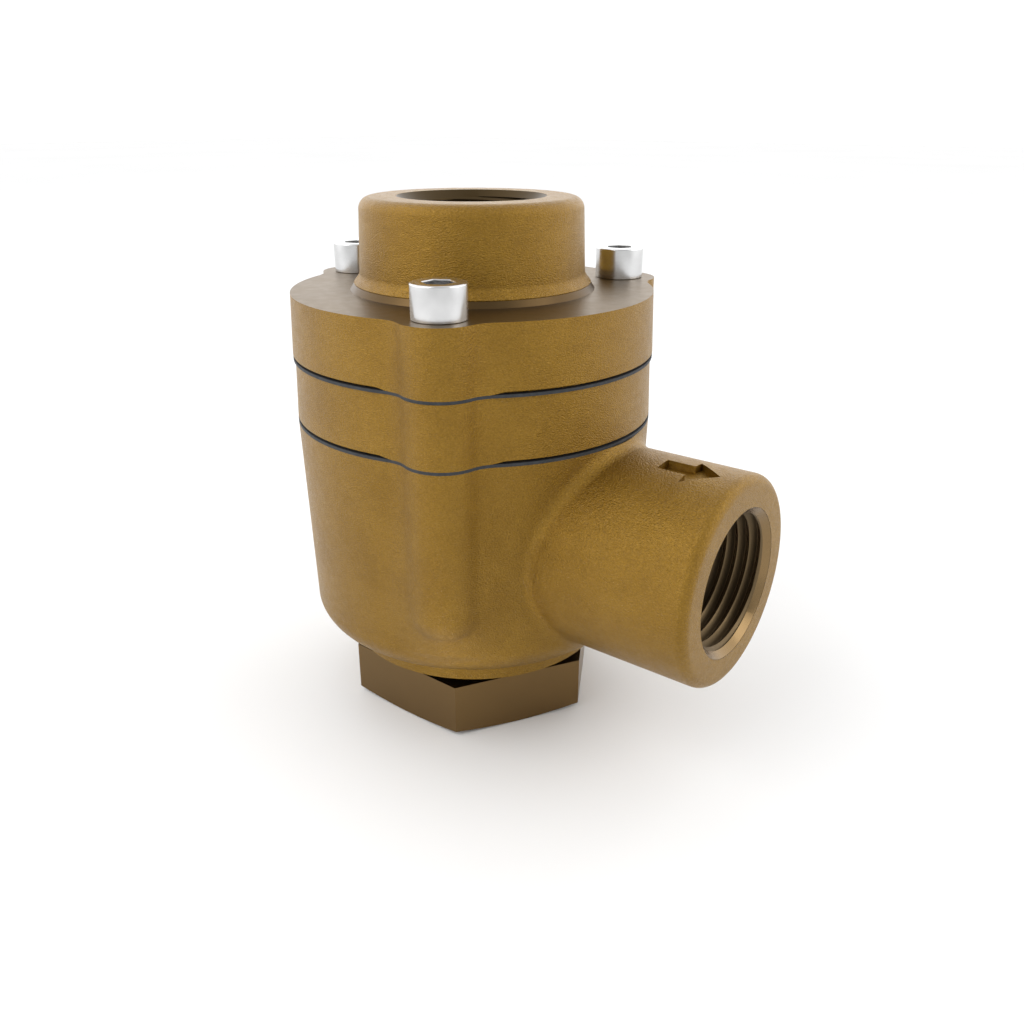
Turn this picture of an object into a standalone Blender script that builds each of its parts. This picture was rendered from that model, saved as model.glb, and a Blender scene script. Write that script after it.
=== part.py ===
"""Thermostatic steam trap in cast bronze, inlet on top and outlet at the side.

Frame: the origin is the centre of the hexagon plug's bottom face, +Z runs up
the body axis to the inlet and +X runs out through the outlet. Metres.

Three castings are stacked on two gaskets and held by three long cap screws:
the body, the middle ring and the inlet cover. Steam and condensate enter at
the top, pass the strainer disc, flow round the thermostatic capsule and leave
through the valve seat into the body and the side outlet.
"""

import math

import bmesh
import bpy
from mathutils import Matrix

MM = 0.001

# Clearances
JOINT_GAP = 0.1 * MM      # each side of a flat gasket, and under a screw head
CLEARANCE = 0.3 * MM      # between any other two pieces
OVERCUT = 1.0 * MM        # how far a cutter runs past the face it opens
OVERLAP = 2.0 * MM        # how far two shapes run into each other before they are joined

# Hexagon plug and its gasket
HEX_ACROSS_FLATS = 46.2 * MM
HEX_HEIGHT = 11.2 * MM
HEX_BEVEL_ANGLE = math.radians(13)
HEX_BEVEL_INSET = 0.8 * MM    # where the bevel starts, inside the flats
PLUG_THREAD_RADIUS = 16.6 * MM
PLUG_THREAD_LENGTH = 12.0 * MM
PLUG_SHANK_BEVEL = 1.0 * MM
PLUG_CUP_WALL = 3.6 * MM
PLUG_CUP_DEPTH = 8.0 * MM
PLUG_GASKET_THICKNESS = 1.2 * MM
PLUG_GASKET_WIDTH = 4.2 * MM

# Lower body casting
BODY_HEIGHT = 46.4 * MM
BODY_TOP_RADIUS = 34.2 * MM
BODY_DRAFT = math.radians(1.54)
LAND_STEP = 8.2 * MM          # of the round land inside the body's radius
LAND_HEIGHT = 2.6 * MM
UNDERSIDE_RISE = 5.0 * MM     # from the top of the land to the upright wall
UNDERSIDE_ROUND = 2.0 * MM    # height of the round between underside and wall
UNDERSIDE_REACH = 1.7 * MM    # its reach inside the wall
LAND_FILLET = 0.4 * MM        # height of the fillet over the land
BODY_FLOOR = 8.0 * MM
FLOOR_SLOPE = 3.5 * MM        # height of the sloping floor round the plug
WALL_TO_SCREW = 2.0 * MM      # metal between a screw hole and a register
REGISTER_LEDGE = 2.1 * MM     # width of the ledge under a clamped rim

# Middle ring and inlet cover
RING_HEIGHT = 11.25 * MM
FLANGE_HEIGHT = 11.55 * MM
BOSS_HEIGHT = 16.3 * MM
CASTING_DRAFT = math.radians(2.2)
BOSS_RADIUS = 20.95 * MM
BOSS_DRAFT = math.radians(3.5)
BOSS_RIM = 2.0 * MM
BOSS_FOOT = 1.9 * MM          # how far the machined cone stands out round the boss
BOSS_FOOT_HEIGHT = 1.9 * MM
BOSS_FOOT_STEP = 1.05 * MM    # height of the cone's lower, steeper part
BOSS_FILLET_HEIGHT = 3.3 * MM # above the flange, where the upright side starts
GASKET_THICKNESS = 0.35 * MM
RELIEF_DEPTH = 1.3 * MM
RELIEF_HEIGHT = 0.5 * MM
RELIEF_FROM_LOBE = math.radians(17)   # turn from a lobe's centre to the relief's end
COVER_SKIRT = 3.6 * MM        # height of the chamber's straight wall in the cover
CAPSULE_ROOM = 2.6 * MM       # round the capsule
THROAT_RISE = 2.0 * MM        # height of the chamber's roof over the carrier's hub

# Screw lobes and cap screws
LOBE_COUNT = 3
LOBE_INSET = 3.2 * MM         # of the screw circle inside the body's radius
LOBE_RADIUS = 7.1 * MM
LOBE_FILLET = 6.3 * MM
LOBE_COLUMN_FOOT = 4.8 * MM   # upright wall left below the columns down the body
LOBE_COLUMN_END = 5.6 * MM    # height of their rounded ends
LOBE_COLUMN_TIP = 0.28        # share of the lobe's radius at the very end
LOBE_COLUMN_STEPS = 5
SCREW_RADIUS = 3.0 * MM
SCREW_LENGTH = 40.0 * MM
SCREW_HEAD_RADIUS = 4.62 * MM
SCREW_HEAD_HEIGHT = 5.7 * MM
SCREW_HEAD_BEVEL = 0.35 * MM
SCREW_TIP_BEVEL = 0.6 * MM
SCREW_HOLE_SPARE = 1.3 * MM   # of the body's screw holes past the screws' tips
SCREW_SOCKET_FLATS = 4.6 * MM
SCREW_SOCKET_DEPTH = 3.0 * MM

# Pipe threads of both ports, 3/4 inch
THREAD_MAJOR = 13.22 * MM
THREAD_DEPTH = 1.16 * MM
THREAD_PITCH = 1.814 * MM
THREAD_LEAD_IN = 0.2 * MM         # plain bore between the mouth's bevel and the thread
THREAD_RUN_OUT = 0.6 * MM         # plain bore past the thread's far end
INLET_THREAD_TURNS = 6
INLET_MOUTH_FLARE = 0.48 * MM     # of the mouth's edge outside the thread
OUTLET_THREAD_TURNS = 9
OUTLET_MOUTH_FLARE = -0.02 * MM

# Outlet port
PORT_BELOW_JOINT = 1.3 * MM   # metal between the port's top and the joint face
PORT_LENGTH = 58.5 * MM       # from the body axis to the port's face
PORT_RADIUS = 19.3 * MM
PORT_RIM = 1.9 * MM
PORT_CORE_STEP = 0.86 * MM    # of the cored passage inside the thread
ARROW_START = 43.4 * MM
ARROW_LENGTH = 10.8 * MM
ARROW_HEAD_LENGTH = 5.5 * MM
ARROW_SHAFT_WIDTH = 3.8 * MM
ARROW_HEAD_WIDTH = 8.4 * MM
ARROW_DEPTH = 0.5 * MM        # below the port's surface at the head's far corner
ARROW_OFFSET = -1.7 * MM

# Strainer disc in the inlet throat
LEDGE_WIDTH = 1.66 * MM       # under the disc, inside the inlet thread
STRAINER_THICKNESS = 0.8 * MM
STRAINER_HOLE_RADIUS = 1.1 * MM
STRAINER_HOLE_SPACING = 3.6 * MM
STRAINER_HOLE_EDGE = 0.2 * MM     # least metal between a hole and the throat's edge
SNAP_RING_HEIGHT = 1.0 * MM
SNAP_RING_WIDTH = 1.6 * MM

# Seat plate, seat and valve
PLATE_THICKNESS = 2.9 * MM
PLATE_TOP_GAP = 0.35 * MM     # from the plate to the ring above it
SEAT_SHANK_RADIUS = 5.9 * MM
SEAT_SHANK_LENGTH = 7.0 * MM
SEAT_HEX_FLATS = 16.0 * MM
SEAT_HEAD_HEIGHT = 3.7 * MM
SEAT_WASHER_BRIM = 0.4 * MM   # of the washer outside the seat's flats
SEAT_EXIT_FLARE = 1.2 * MM    # of the wider lower bore outside the orifice
SEAT_EXIT_DEPTH = 4.0 * MM
SEAT_WASHER_THICKNESS = 0.5 * MM
ORIFICE_RADIUS = 2.4 * MM
SEAT_BEVEL = 1.0 * MM
VALVE_STROKE = 1.6 * MM
VALVE_CONE_RADIUS = 3.5 * MM
VALVE_TIP_RADIUS = 0.6 * MM
VALVE_SEAT_GAP = 0.1 * MM     # left between cone and seat when closed
VALVE_STEM_LENGTH = 1.25 * MM
VALVE_DISC_INSET = 0.5 * MM   # of the disc inside the capsule's inner radius
VALVE_DISC_THICKNESS = 1.6 * MM

# Thermostatic capsule and its carrier
CAPSULE_RADIUS = 12.0 * MM
CAPSULE_INNER_RADIUS = 9.5 * MM
CAPSULE_WALL = 0.6 * MM
CAPSULE_FOLDS = 3
CAPSULE_FOLD_PITCH = 2.6 * MM
CAP_THICKNESS = 1.3 * MM
CAP_INSET = 1.0 * MM          # of the top plate inside the capsule's folds
STUD_RADIUS = 3.0 * MM
CARRIER_RIM_THICKNESS = 1.8 * MM
CARRIER_WALL = 2.0 * MM
CARRIER_SHELL_GAP = 1.2 * MM  # from the bridge to the chamber's wall
CARRIER_KNEE = 2.4 * MM       # height of its straight side over the rim
CARRIER_HUB_RIM = 4.5 * MM    # solid metal left round the stud
CARRIER_ARM_ANGLE = math.radians(36)
WASHER_THICKNESS = 0.8 * MM
WASHER_BRIM = 0.6 * MM        # of the washer outside the nut's flats
NUT_HEIGHT = 2.4 * MM
NUT_ACROSS_FLATS = 10.0 * MM

# Places up the axis that follow from the sizes above
LAND_Z = HEX_HEIGHT + PLUG_GASKET_THICKNESS + 2 * CLEARANCE
BODY_TOP_Z = LAND_Z + BODY_HEIGHT
JOINT_THICKNESS = GASKET_THICKNESS + 2 * JOINT_GAP
RING_Z = BODY_TOP_Z + JOINT_THICKNESS
RING_TOP_Z = RING_Z + RING_HEIGHT
COVER_Z = RING_TOP_Z + JOINT_THICKNESS
FLANGE_Z = COVER_Z + FLANGE_HEIGHT
INLET_Z = FLANGE_Z + BOSS_HEIGHT

LAND_RADIUS = BODY_TOP_RADIUS - LAND_STEP
THREAD_MINOR = THREAD_MAJOR - THREAD_DEPTH
INLET_MOUTH_RADIUS = THREAD_MAJOR + INLET_MOUTH_FLARE
OUTLET_MOUTH_RADIUS = THREAD_MAJOR + OUTLET_MOUTH_FLARE
PORT_CORE_RADIUS = THREAD_MINOR - PORT_CORE_STEP
THROAT_RADIUS = THREAD_MINOR - LEDGE_WIDTH

SCREW_CIRCLE = BODY_TOP_RADIUS - LOBE_INSET
SCREW_HOLE = SCREW_RADIUS + CLEARANCE
REGISTER_RADIUS = SCREW_CIRCLE - SCREW_HOLE - WALL_TO_SCREW
CHAMBER_RADIUS = REGISTER_RADIUS - REGISTER_LEDGE

REGISTER_DEPTH = PLATE_THICKNESS + CLEARANCE + PLATE_TOP_GAP - JOINT_THICKNESS
PLATE_Z = BODY_TOP_Z - REGISTER_DEPTH + CLEARANCE
PLATE_TOP_Z = PLATE_Z + PLATE_THICKNESS
SEAT_HEAD_Z = PLATE_TOP_Z + SEAT_WASHER_THICKNESS + 2 * CLEARANCE
SEAT_TOP_Z = SEAT_HEAD_Z + SEAT_HEAD_HEIGHT
VALVE_TIP_Z = SEAT_TOP_Z - SEAT_BEVEL - (ORIFICE_RADIUS - VALVE_SEAT_GAP - VALVE_TIP_RADIUS) + VALVE_STROKE
VALVE_CONE_TOP_Z = VALVE_TIP_Z + VALVE_CONE_RADIUS - VALVE_TIP_RADIUS
VALVE_DISC_RADIUS = CAPSULE_INNER_RADIUS - VALVE_DISC_INSET
VALVE_DISC_Z = VALVE_CONE_TOP_Z + VALVE_STEM_LENGTH
CAPSULE_Z = VALVE_DISC_Z + VALVE_DISC_THICKNESS + CLEARANCE
CAPSULE_TOP_Z = CAPSULE_Z + CAPSULE_FOLDS * CAPSULE_FOLD_PITCH
CAP_Z = CAPSULE_TOP_Z + CLEARANCE
HUB_Z = CAP_Z + CAP_THICKNESS + CLEARANCE
HUB_TOP_Z = HUB_Z + CARRIER_WALL
WASHER_Z = HUB_TOP_Z + CLEARANCE
NUT_Z = WASHER_Z + WASHER_THICKNESS + CLEARANCE
STUD_TOP_Z = NUT_Z + NUT_HEIGHT + CLEARANCE
LEDGE_Z = STUD_TOP_Z + CLEARANCE
STRAINER_Z = LEDGE_Z + CLEARANCE
SNAP_RING_Z = STRAINER_Z + STRAINER_THICKNESS + CLEARANCE

PORT_HEIGHT = BODY_TOP_Z - PORT_BELOW_JOINT - PORT_RADIUS
PORT_ROOT = CHAMBER_RADIUS - 1.0 * MM     # where the port starts, hidden in the wall

LOBE_ANGLES = [math.radians(180 + 360 * i / LOBE_COUNT) for i in range(LOBE_COUNT)]


# ---------------------------------------------------------------- helpers

def clear_scene():
    for thing in list(bpy.data.objects):
        bpy.data.objects.remove(thing, do_unlink=True)


def new_material(name, colour, roughness, metallic):
    material = bpy.data.materials.new(name)
    material.use_nodes = True
    shader = material.node_tree.nodes["Principled BSDF"]
    shader.inputs["Base Color"].default_value = (*colour, 1.0)
    shader.inputs["Roughness"].default_value = roughness
    shader.inputs["Metallic"].default_value = metallic
    material.diffuse_color = (*colour, 1.0)
    return material


def finish_object(name, bm, material=None, location=(0, 0, 0), smooth=True):
    """Turn a bmesh into a named object with outward faces and smooth round sides."""
    bmesh.ops.remove_doubles(bm, verts=bm.verts, dist=1e-7)
    bmesh.ops.recalc_face_normals(bm, faces=bm.faces)
    mesh = bpy.data.meshes.new(name)
    bm.to_mesh(mesh)
    bm.free()
    if smooth:
        mesh.shade_smooth()
        mesh.set_sharp_from_angle(angle=math.radians(30))
    if material:
        mesh.materials.append(material)
    thing = bpy.data.objects.new(name, mesh)
    thing.location = location
    bpy.context.scene.collection.objects.link(thing)
    return thing


def turned(name, profile, material=None, steps=48, along_x=False, location=(0, 0, 0)):
    """Spin a closed profile of (radius, height) points round the Z axis, or round X."""
    bm = bmesh.new()
    verts = [bm.verts.new((radius, 0, height)) for radius, height in profile]
    edges = []
    for first, second in zip(verts, verts[1:] + verts[:1]):
        if first.co.x > 1e-9 or second.co.x > 1e-9:
            edges.append(bm.edges.new((first, second)))
    bmesh.ops.spin(bm, geom=verts + edges, cent=(0, 0, 0), axis=(0, 0, 1),
                   angle=2 * math.pi, steps=steps, use_merge=True)
    if along_x:
        bmesh.ops.transform(bm, matrix=Matrix.Rotation(math.radians(90), 4, "Y"), verts=bm.verts)
    return finish_object(name, bm, material, location)


def sector(bm, inner, outer, low, high, start, sweep, steps=14):
    """Add a block between two radii and two heights that covers part of a turn."""
    verts = [bm.verts.new((radius * math.cos(start), radius * math.sin(start), height))
             for radius, height in ((inner, low), (outer, low), (outer, high), (inner, high))]
    face = bm.faces.new(verts)
    bmesh.ops.spin(bm, geom=[face], cent=(0, 0, 0), axis=(0, 0, 1), angle=sweep, steps=steps)


def add_cylinder(bm, radius, low, high, x=0.0, y=0.0, steps=24):
    place = Matrix.Translation((x, y, (low + high) / 2))
    bmesh.ops.create_cone(bm, cap_ends=True, segments=steps, radius1=radius, radius2=radius,
                          depth=high - low, matrix=place)


def add_hexagon(bm, across_flats, low, high, turn=0.0, x=0.0, y=0.0):
    """Hexagonal prism, with a corner towards +X when turn is zero."""
    place = (Matrix.Translation((x, y, (low + high) / 2))
             @ Matrix.Rotation(turn + math.radians(30), 4, "Z"))
    corner = across_flats / math.sqrt(3)
    bmesh.ops.create_cone(bm, cap_ends=True, segments=6, radius1=corner, radius2=corner,
                          depth=high - low, matrix=place)


def cutter(thing):
    thing.display_type = "WIRE"
    thing.hide_render = True
    return thing


def combine(thing, other, operation):
    boolean = thing.modifiers.new(f"{operation.lower()}_{other.name}", "BOOLEAN")
    boolean.operation = operation
    boolean.solver = "EXACT"
    boolean.object = cutter(other)
    return boolean


def lobe_places():
    return [(SCREW_CIRCLE * math.cos(a), SCREW_CIRCLE * math.sin(a)) for a in LOBE_ANGLES]


def lobed_radius(turn, base, lobe):
    """Distance from the axis to the lobed outline in one direction.

    turn is the angle from the nearest lobe's centre. Near it the outline is the
    lobe's circle, then a fillet circle that touches the lobe and the base
    circle, then the base circle.
    """
    if lobe <= 0 or SCREW_CIRCLE + lobe <= base:
        return base
    fillet_centre = base + LOBE_FILLET
    reach = lobe + LOBE_FILLET
    cosine = (fillet_centre ** 2 + SCREW_CIRCLE ** 2 - reach ** 2) / (2 * fillet_centre * SCREW_CIRCLE)
    if cosine >= 1:
        return base
    fillet_turn = math.acos(cosine)
    if turn >= fillet_turn:
        return base
    centre_x = fillet_centre * math.cos(fillet_turn)
    centre_y = fillet_centre * math.sin(fillet_turn)
    touch_x = SCREW_CIRCLE + lobe * (centre_x - SCREW_CIRCLE) / reach
    touch_y = lobe * centre_y / reach
    if turn >= math.atan2(touch_y, touch_x):
        offset = fillet_turn - turn
        return (fillet_centre * math.cos(offset)
                - math.sqrt(LOBE_FILLET ** 2 - (fillet_centre * math.sin(offset)) ** 2))
    return SCREW_CIRCLE * math.cos(turn) + math.sqrt(lobe ** 2 - (SCREW_CIRCLE * math.sin(turn)) ** 2)


def outline_turns():
    """Angles round the axis: close together across each lobe, wider between lobes."""
    turns = []
    for angle in LOBE_ANGLES:
        turns += [angle + math.radians(step) for step in range(-18, 19, 3)]
        turns += [angle + math.radians(step) for step in range(30, 91, 12)]
    return turns


def lobed_solid(name, sections, material):
    """Loft through (height, base radius, lobe radius) sections of the lobed outline."""
    bm = bmesh.new()
    turns = outline_turns()
    lobe_pitch = 2 * math.pi / LOBE_COUNT
    rings = []
    for height, base, lobe in sections:
        ring = []
        for turn in turns:
            away = (turn - LOBE_ANGLES[0] + lobe_pitch / 2) % lobe_pitch - lobe_pitch / 2
            radius = lobed_radius(abs(away), base, lobe)
            ring.append(bm.verts.new((radius * math.cos(turn), radius * math.sin(turn), height)))
        rings.append(ring)
    count = len(turns)
    for lower, upper in zip(rings, rings[1:]):
        for i in range(count):
            j = (i + 1) % count
            bm.faces.new((lower[i], lower[j], upper[j], upper[i]))
    bm.faces.new(list(reversed(rings[0])))
    bm.faces.new(rings[-1])
    return finish_object(name, bm, material)


def screw_hole_cutter(name, radius, low, high):
    bm = bmesh.new()
    for x, y in lobe_places():
        add_cylinder(bm, radius, low, high, x, y)
    return finish_object(name, bm)


def relief_cutter(name, base, low):
    """Three arcs that set the casting's lower edge back between the lobes."""
    bm = bmesh.new()
    sweep = 2 * math.pi / LOBE_COUNT - 2 * RELIEF_FROM_LOBE
    for angle in LOBE_ANGLES:
        sector(bm, base - RELIEF_DEPTH, base + 3 * OVERCUT, low - OVERCUT, low + RELIEF_HEIGHT,
               angle + RELIEF_FROM_LOBE, sweep)
    return finish_object(name, bm)


def threaded_bore(mouth, face, core, depth, turns, beyond=OVERCUT):
    """Profile of a tapped port from its core up to beyond its face at height 'face'.

    The thread is a stack of V grooves one pitch apart, between the minor and
    major radius, with a 45 degree bevel at the mouth.
    """
    bevel = mouth - THREAD_MINOR
    start = face - bevel - THREAD_LEAD_IN - turns * THREAD_PITCH
    profile = [(0, depth), (core, depth)]
    profile += [(core, start - THREAD_RUN_OUT), (THREAD_MINOR, start - THREAD_RUN_OUT)]
    for i in range(turns):
        low = start + i * THREAD_PITCH
        profile.append((THREAD_MINOR, low))
        profile.append((THREAD_MAJOR, low + 0.5 * THREAD_PITCH))
    profile += [(THREAD_MINOR, face - bevel), (mouth + beyond, face + beyond), (0, face + beyond)]
    return profile


def rounded_rim(radius, face, rim, steps=4):
    """Quarter circle of (radius, height) points over an outer rim, from the side to the face."""
    points = []
    for i in range(steps + 1):
        angle = math.radians(90) * i / steps
        points.append((radius - rim + rim * math.cos(angle), face - rim + rim * math.sin(angle)))
    return points


# ---------------------------------------------------------------- materials

BRONZE = new_material("cast_bronze", (0.45, 0.27, 0.09), 0.45, 0.9)
MACHINED = new_material("machined_bronze", (0.36, 0.24, 0.11), 0.30, 0.9)
STAINLESS = new_material("stainless_steel", (0.75, 0.76, 0.78), 0.18, 1.0)
SPRING_STEEL = new_material("spring_steel", (0.55, 0.56, 0.58), 0.30, 1.0)
GASKET = new_material("gasket_sheet", (0.045, 0.052, 0.06), 0.7, 0.0)
COPPER = new_material("copper", (0.72, 0.36, 0.22), 0.35, 1.0)

clear_scene()


# ---------------------------------------------------------------- castings

def body_sections():
    """Outside of the body: land, sloping underside, rounded corner and drafted wall."""
    wall_z = LAND_Z + LAND_HEIGHT + UNDERSIDE_RISE
    wall_radius = BODY_TOP_RADIUS - math.tan(BODY_DRAFT) * (BODY_TOP_Z - wall_z)
    slope_radius = wall_radius - UNDERSIDE_REACH
    slope_z = wall_z - UNDERSIDE_ROUND
    column_z = wall_z + LOBE_COLUMN_FOOT + LOBE_COLUMN_END
    sections = [
        (LAND_Z, LAND_RADIUS, 0),
        (LAND_Z + LAND_HEIGHT, LAND_RADIUS, 0),
        (LAND_Z + LAND_HEIGHT + LAND_FILLET, LAND_RADIUS + 2 * LAND_FILLET, 0),
        (slope_z, slope_radius, 0),
        (slope_z + 0.25 * UNDERSIDE_ROUND, slope_radius + 0.5 * UNDERSIDE_REACH, 0),
        (slope_z + 0.575 * UNDERSIDE_ROUND, slope_radius + 0.853 * UNDERSIDE_REACH, 0),
        (wall_z, wall_radius, 0),
    ]
    for step in range(LOBE_COLUMN_STEPS + 1):
        angle = math.radians(90) * (1 - step / LOBE_COLUMN_STEPS)
        height = column_z - LOBE_COLUMN_END * math.sin(angle)
        lobe = LOBE_RADIUS * (LOBE_COLUMN_TIP + (1 - LOBE_COLUMN_TIP) * math.cos(angle))
        base = BODY_TOP_RADIUS - math.tan(BODY_DRAFT) * (BODY_TOP_Z - height)
        sections.append((height, base, lobe))
    sections.append((BODY_TOP_Z, BODY_TOP_RADIUS, LOBE_RADIUS))
    return sections


def make_body():
    body = lobed_solid("body", body_sections(), BRONZE)

    port = turned("outlet_port_shape", [(0, PORT_ROOT), (PORT_RADIUS, PORT_ROOT)]
                  + rounded_rim(PORT_RADIUS, PORT_LENGTH, PORT_RIM) + [(0, PORT_LENGTH)],
                  along_x=True, steps=40, location=(0, 0, PORT_HEIGHT))
    combine(body, port, "UNION")

    floor_z = LAND_Z + BODY_FLOOR
    plug_hole = PLUG_THREAD_RADIUS + CLEARANCE
    cavity = turned("body_cavity_cutter", [
        (0, LAND_Z - OVERCUT),
        (plug_hole, LAND_Z - OVERCUT),
        (plug_hole, floor_z),
        (CHAMBER_RADIUS, floor_z + FLOOR_SLOPE),
        (CHAMBER_RADIUS, BODY_TOP_Z - REGISTER_DEPTH),
        (REGISTER_RADIUS, BODY_TOP_Z - REGISTER_DEPTH),
        (REGISTER_RADIUS, BODY_TOP_Z + OVERCUT),
        (0, BODY_TOP_Z + OVERCUT),
    ])
    combine(body, cavity, "DIFFERENCE")

    bore = turned("outlet_bore_cutter",
                  threaded_bore(OUTLET_MOUTH_RADIUS, PORT_LENGTH, PORT_CORE_RADIUS, 2 * MM,
                                OUTLET_THREAD_TURNS),
                  along_x=True, steps=36, location=(0, 0, PORT_HEIGHT))
    combine(body, bore, "DIFFERENCE")

    hole_z = FLANGE_Z + JOINT_GAP - SCREW_LENGTH - SCREW_HOLE_SPARE
    holes = screw_hole_cutter("body_screw_hole_cutter", SCREW_HOLE, hole_z, BODY_TOP_Z + OVERCUT)
    combine(body, holes, "DIFFERENCE")

    combine(body, arrow_cutter(), "DIFFERENCE")
    return body


def arrow_cutter():
    """Flow arrow engraved along the top of the outlet port."""
    half_shaft = ARROW_SHAFT_WIDTH / 2
    half_head = ARROW_HEAD_WIDTH / 2
    head_x = ARROW_START + ARROW_LENGTH - ARROW_HEAD_LENGTH
    tip_x = ARROW_START + ARROW_LENGTH
    corners = [(ARROW_START, -half_shaft), (head_x, -half_shaft), (head_x, -half_head), (tip_x, 0),
               (head_x, half_head), (head_x, half_shaft), (ARROW_START, half_shaft)]
    side = half_head + abs(ARROW_OFFSET)
    low = math.sqrt(PORT_RADIUS ** 2 - side ** 2) - ARROW_DEPTH
    bm = bmesh.new()
    verts = [bm.verts.new((x, y + ARROW_OFFSET, PORT_HEIGHT + low)) for x, y in corners]
    face = bm.faces.new(verts)
    grown = bmesh.ops.extrude_face_region(bm, geom=[face])
    top = [v for v in grown["geom"] if isinstance(v, bmesh.types.BMVert)]
    bmesh.ops.translate(bm, vec=(0, 0, 4 * MM), verts=top)
    return finish_object("flow_arrow_cutter", bm, smooth=False)


def make_ring():
    bottom_radius = BODY_TOP_RADIUS
    top_radius = bottom_radius - math.tan(CASTING_DRAFT) * RING_HEIGHT
    ring = lobed_solid("middle_ring", [(RING_Z, bottom_radius, LOBE_RADIUS),
                                       (RING_TOP_Z, top_radius, LOBE_RADIUS)], BRONZE)
    register = RING_TOP_Z - (CARRIER_RIM_THICKNESS - JOINT_THICKNESS + 2 * CLEARANCE)
    bore = turned("ring_bore_cutter", [
        (0, RING_Z - OVERCUT),
        (CHAMBER_RADIUS, RING_Z - OVERCUT),
        (CHAMBER_RADIUS, register),
        (REGISTER_RADIUS, register),
        (REGISTER_RADIUS, RING_TOP_Z + OVERCUT),
        (0, RING_TOP_Z + OVERCUT),
    ])
    combine(ring, bore, "DIFFERENCE")
    combine(ring, screw_hole_cutter("ring_screw_hole_cutter", SCREW_HOLE, RING_Z - OVERCUT,
                                    RING_TOP_Z + OVERCUT), "DIFFERENCE")
    combine(ring, relief_cutter("ring_relief_cutter", bottom_radius, RING_Z), "DIFFERENCE")
    return ring


def make_cover():
    bottom_radius = BODY_TOP_RADIUS
    top_radius = bottom_radius - math.tan(CASTING_DRAFT) * FLANGE_HEIGHT
    cover = lobed_solid("inlet_cover", [(COVER_Z, bottom_radius, LOBE_RADIUS),
                                        (FLANGE_Z, top_radius, LOBE_RADIUS)], BRONZE)

    boss_top = BOSS_RADIUS - math.tan(BOSS_DRAFT) * (BOSS_HEIGHT - BOSS_FILLET_HEIGHT)
    boss = turned("boss_shape", [
        (0, FLANGE_Z - OVERLAP),
        (BOSS_RADIUS + BOSS_FOOT, FLANGE_Z - OVERLAP),
        (BOSS_RADIUS + BOSS_FOOT, FLANGE_Z),
        (BOSS_RADIUS + BOSS_FOOT - 1.0 * MM, FLANGE_Z + BOSS_FOOT_STEP),
        (BOSS_RADIUS + 0.35 * MM, FLANGE_Z + BOSS_FOOT_HEIGHT),
        (BOSS_RADIUS, FLANGE_Z + BOSS_FILLET_HEIGHT),
    ] + rounded_rim(boss_top, INLET_Z, BOSS_RIM) + [(0, INLET_Z)], steps=44)
    head_room = screw_hole_cutter("screw_head_room_cutter", SCREW_HEAD_RADIUS + CLEARANCE,
                                  FLANGE_Z + JOINT_GAP / 2, INLET_Z + OVERCUT)
    combine(boss, head_room, "DIFFERENCE")
    combine(cover, boss, "UNION")

    room_radius = CAPSULE_RADIUS + CAPSULE_ROOM
    chamber = turned("cover_chamber_cutter", [
        (0, COVER_Z - OVERCUT),
        (CHAMBER_RADIUS, COVER_Z - OVERCUT),
        (CHAMBER_RADIUS, COVER_Z + COVER_SKIRT),
        (room_radius, HUB_TOP_Z + CLEARANCE),
        (THROAT_RADIUS, HUB_TOP_Z + THROAT_RISE),
        (0, HUB_TOP_Z + THROAT_RISE),
    ])
    combine(cover, chamber, "DIFFERENCE")

    thread_start = (INLET_Z - (INLET_MOUTH_RADIUS - THREAD_MINOR) - THREAD_LEAD_IN
                    - INLET_THREAD_TURNS * THREAD_PITCH)
    profile = threaded_bore(INLET_MOUTH_RADIUS, INLET_Z, THROAT_RADIUS, HUB_TOP_Z + OVERCUT,
                            INLET_THREAD_TURNS)
    ledge = min(LEDGE_Z, thread_start - THREAD_RUN_OUT)
    profile[2] = (THROAT_RADIUS, ledge)
    profile[3] = (THREAD_MINOR, ledge)
    combine(cover, turned("inlet_bore_cutter", profile, steps=36), "DIFFERENCE")
    combine(cover, screw_hole_cutter("cover_screw_hole_cutter", SCREW_HOLE, COVER_Z - OVERCUT,
                                     FLANGE_Z + OVERCUT), "DIFFERENCE")
    combine(cover, relief_cutter("cover_relief_cutter", bottom_radius, COVER_Z), "DIFFERENCE")
    return cover


def make_gasket(name, low, radius):
    """Flat joint gasket with the castings' outline, a round window and screw holes."""
    gasket = lobed_solid(name, [(low, radius, LOBE_RADIUS),
                                (low + GASKET_THICKNESS, radius, LOBE_RADIUS)], GASKET)
    window = REGISTER_RADIUS + CLEARANCE
    low_cut = low - OVERCUT
    high_cut = low + GASKET_THICKNESS + OVERCUT
    combine(gasket, turned(name + "_window_cutter", [
        (0, low_cut), (window, low_cut), (window, high_cut), (0, high_cut)]), "DIFFERENCE")
    combine(gasket, screw_hole_cutter(name + "_hole_cutter", SCREW_HOLE, low_cut, high_cut),
            "DIFFERENCE")
    return gasket


# ---------------------------------------------------------------- fasteners and plug

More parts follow.
